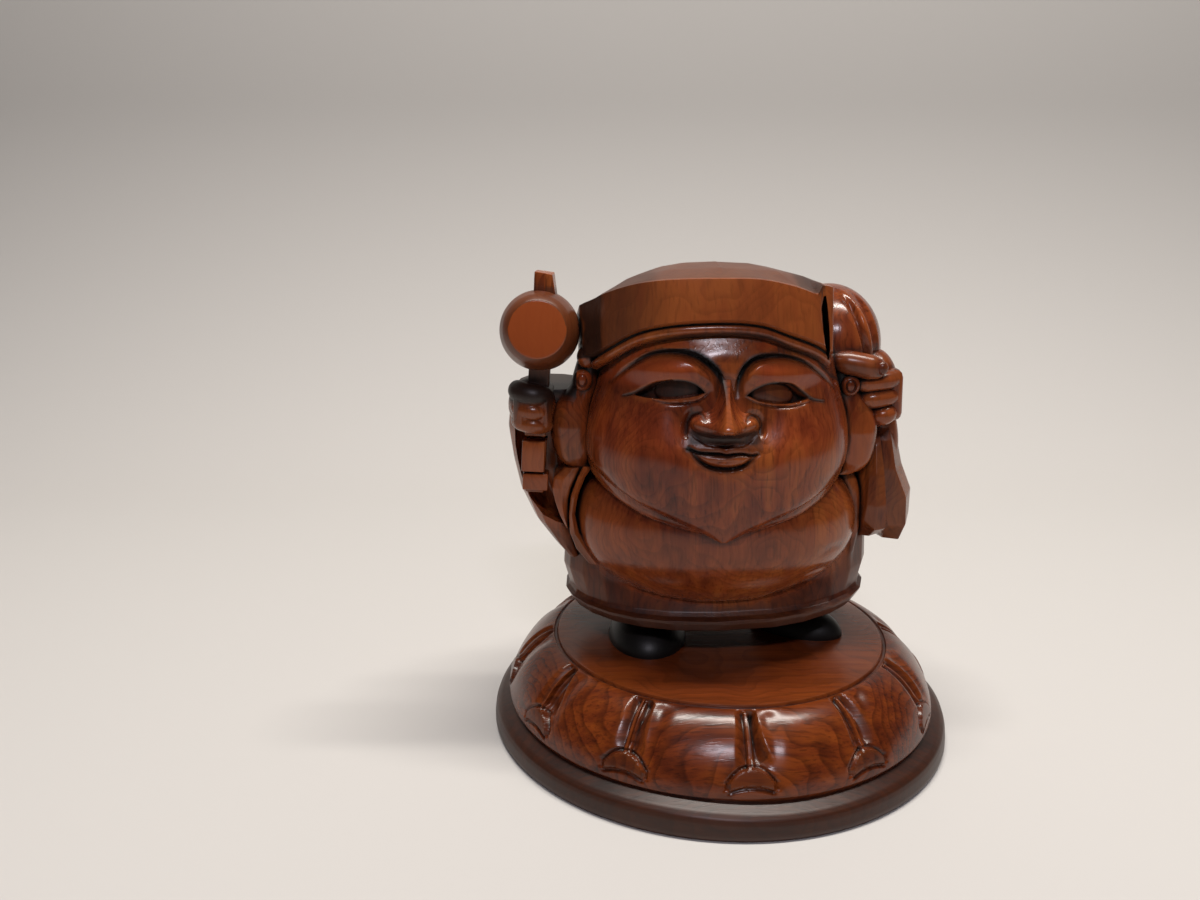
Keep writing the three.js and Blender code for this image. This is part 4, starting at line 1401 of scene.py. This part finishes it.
class DAIKOKU_OT_carve_base(bpy.types.Operator):
    """Carves the round base with its stems and crescents"""

    bl_idname = "daikoku.carve_base"
    bl_label = "Carve base"

    def execute(self, context):
        base = carve_base(context.scene.daikoku_sizes)
        finish_piece(base, BASE_LOOK, "stained_turned_keyaki", BASE)
        return {"FINISHED"}


# The camera, the room and its two soft tubes

CAMERA_AT = (-47.39 * MM, -356.74 * MM, 197.33 * MM)
CAMERA_DOWN = 13.95
CAMERA_LENS = 28.5
ROOM_LIGHT = 0.07
ROOM_SEEN = 0.75
PAPER_HALF = 1.3
WALL_SHADE = 0.72
SWEEP_START = 0.3
SWEEP_BEND = 0.3
LAMPS_AIM_AT = 0.09

# Each lamp's name, place, width, depth, share of the strength and colour
LAMPS = (
    ("tube_above", (0.1, -0.05, 1.3), 1.1, 0.07, 1.5, "#fffaf2"),
    ("tube_in_front", (-0.03, -1.22, 1.17), 0.4, 0.02, 0.5, "#f6f2ff"),
)


class DAIKOKU_OT_set_stage(bpy.types.Operator):
    """Sets the table, the soft light and the camera"""

    bl_idname = "daikoku.set_stage"
    bl_label = "Set stage"

    def execute(self, context):
        stage = context.scene.daikoku_stage
        grid = bpy.ops.mesh.primitive_grid_add
        floor = added(
            "paper_sweep", grid, x_subdivisions=1, y_subdivisions=120, size=2 * PAPER_HALF,
        )
        points = points_of(floor)
        past = np.clip(points[:, 1] - SWEEP_START, 0, None)
        turn = np.clip(past / SWEEP_BEND, 0, math.pi / 2)
        upright = np.clip(past - SWEEP_BEND * math.pi / 2, 0, None)
        points[:, 1] += SWEEP_BEND * np.sin(turn) - past
        points[:, 2] = SWEEP_BEND * (1 - np.cos(turn)) + upright
        move_points(floor, points)
        bpy.ops.object.shade_smooth()
        paper = bpy.data.materials.new("plain_paper")
        paper.use_nodes = True
        add = partial(node, paper.node_tree)
        height = add("SeparateXYZ", out="Z", i0=add("TexCoord", out="Object"))
        risen = add("MapRange", i0=height, **{"To Max": 1.0, "From Max": SWEEP_BEND})
        wall = tuple(c * WALL_SHADE for c in stage.floor_colour)
        colour = add("MixRGB", i0=risen, i1=(*stage.floor_colour, 1), i2=(*wall, 1))
        shader = paper.node_tree.nodes["Principled BSDF"]
        paper.node_tree.links.new(colour, shader.inputs["Base Color"])
        shader.inputs["Roughness"].default_value = 0.85
        floor.data.materials.append(paper)
        floor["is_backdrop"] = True

        world = bpy.data.worlds.new("room")
        world.use_nodes = True
        add = partial(node, world.node_tree)
        background = world.node_tree.nodes["Background"]
        background.inputs["Color"].default_value = linear("#d3cfcb")
        seen = add("LightPath", out="Is Camera Ray")
        strength = add("MapRange", i0=seen, **{"To Min": ROOM_LIGHT, "To Max": ROOM_SEEN})
        world.node_tree.links.new(strength, background.inputs["Strength"])
        context.scene.world = world

        for name, at, wide, deep, power_share, colour in LAMPS:
            lamp = added(name, bpy.ops.object.light_add, type="AREA", location=at)
            lamp.data.shape = "RECTANGLE"
            lamp.data.size = wide
            lamp.data.size_y = deep
            lamp.data.energy = stage.light_power * power_share
            lamp.data.color = linear(colour)[:3]
            lamp.rotation_euler = (math.atan2(-at[1], at[2] - LAMPS_AIM_AT), 0, 0)

        camera = added("photo_view", bpy.ops.object.camera_add, location=CAMERA_AT)
        camera.rotation_euler = (math.radians(90 - CAMERA_DOWN), 0, 0)
        camera.data.lens = CAMERA_LENS
        camera.data.sensor_width = 36
        camera.data.clip_start = 0.01
        context.scene.camera = camera
        context.scene.view_settings.view_transform = "Standard"
        return {"FINISHED"}


class DAIKOKU_PT_panel(bpy.types.Panel):
    """Lists the steps in the 3D view's sidebar"""

    bl_label = "Daikoku"
    bl_idname = "DAIKOKU_PT_panel"
    bl_space_type = "VIEW_3D"
    bl_region_type = "UI"
    bl_category = "Daikoku"

    def draw(self, context):
        for group in (context.scene.daikoku_sizes, context.scene.daikoku_stage):
            for key in group.__annotations__:
                self.layout.prop(group, key)
        for operator in OPERATORS:
            self.layout.operator(operator.bl_idname)


GROUPS = (DAIKOKU_PG_sizes, DAIKOKU_PG_stage)
OPERATORS = (DAIKOKU_OT_carve_figure, DAIKOKU_OT_carve_base, DAIKOKU_OT_set_stage)


def register():
    for item in (*GROUPS, *OPERATORS, DAIKOKU_PT_panel):
        bpy.utils.register_class(item)
    bpy.types.Scene.daikoku_sizes = PointerProperty(type=DAIKOKU_PG_sizes)
    bpy.types.Scene.daikoku_stage = PointerProperty(type=DAIKOKU_PG_stage)


def unregister():
    del bpy.types.Scene.daikoku_stage
    del bpy.types.Scene.daikoku_sizes
    for item in reversed((*GROUPS, *OPERATORS, DAIKOKU_PT_panel)):
        bpy.utils.unregister_class(item)


def main():
    register()
    bpy.ops.daikoku.carve_figure()
    bpy.ops.daikoku.carve_base()
    bpy.ops.daikoku.set_stage()
    as_lists = lambda box: [[float(v) for v in corner] for corner in box]
    {"cad": as_lists(CAD_BOX), "visual": as_lists(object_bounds())}


if __name__ == "__main__":
    main()
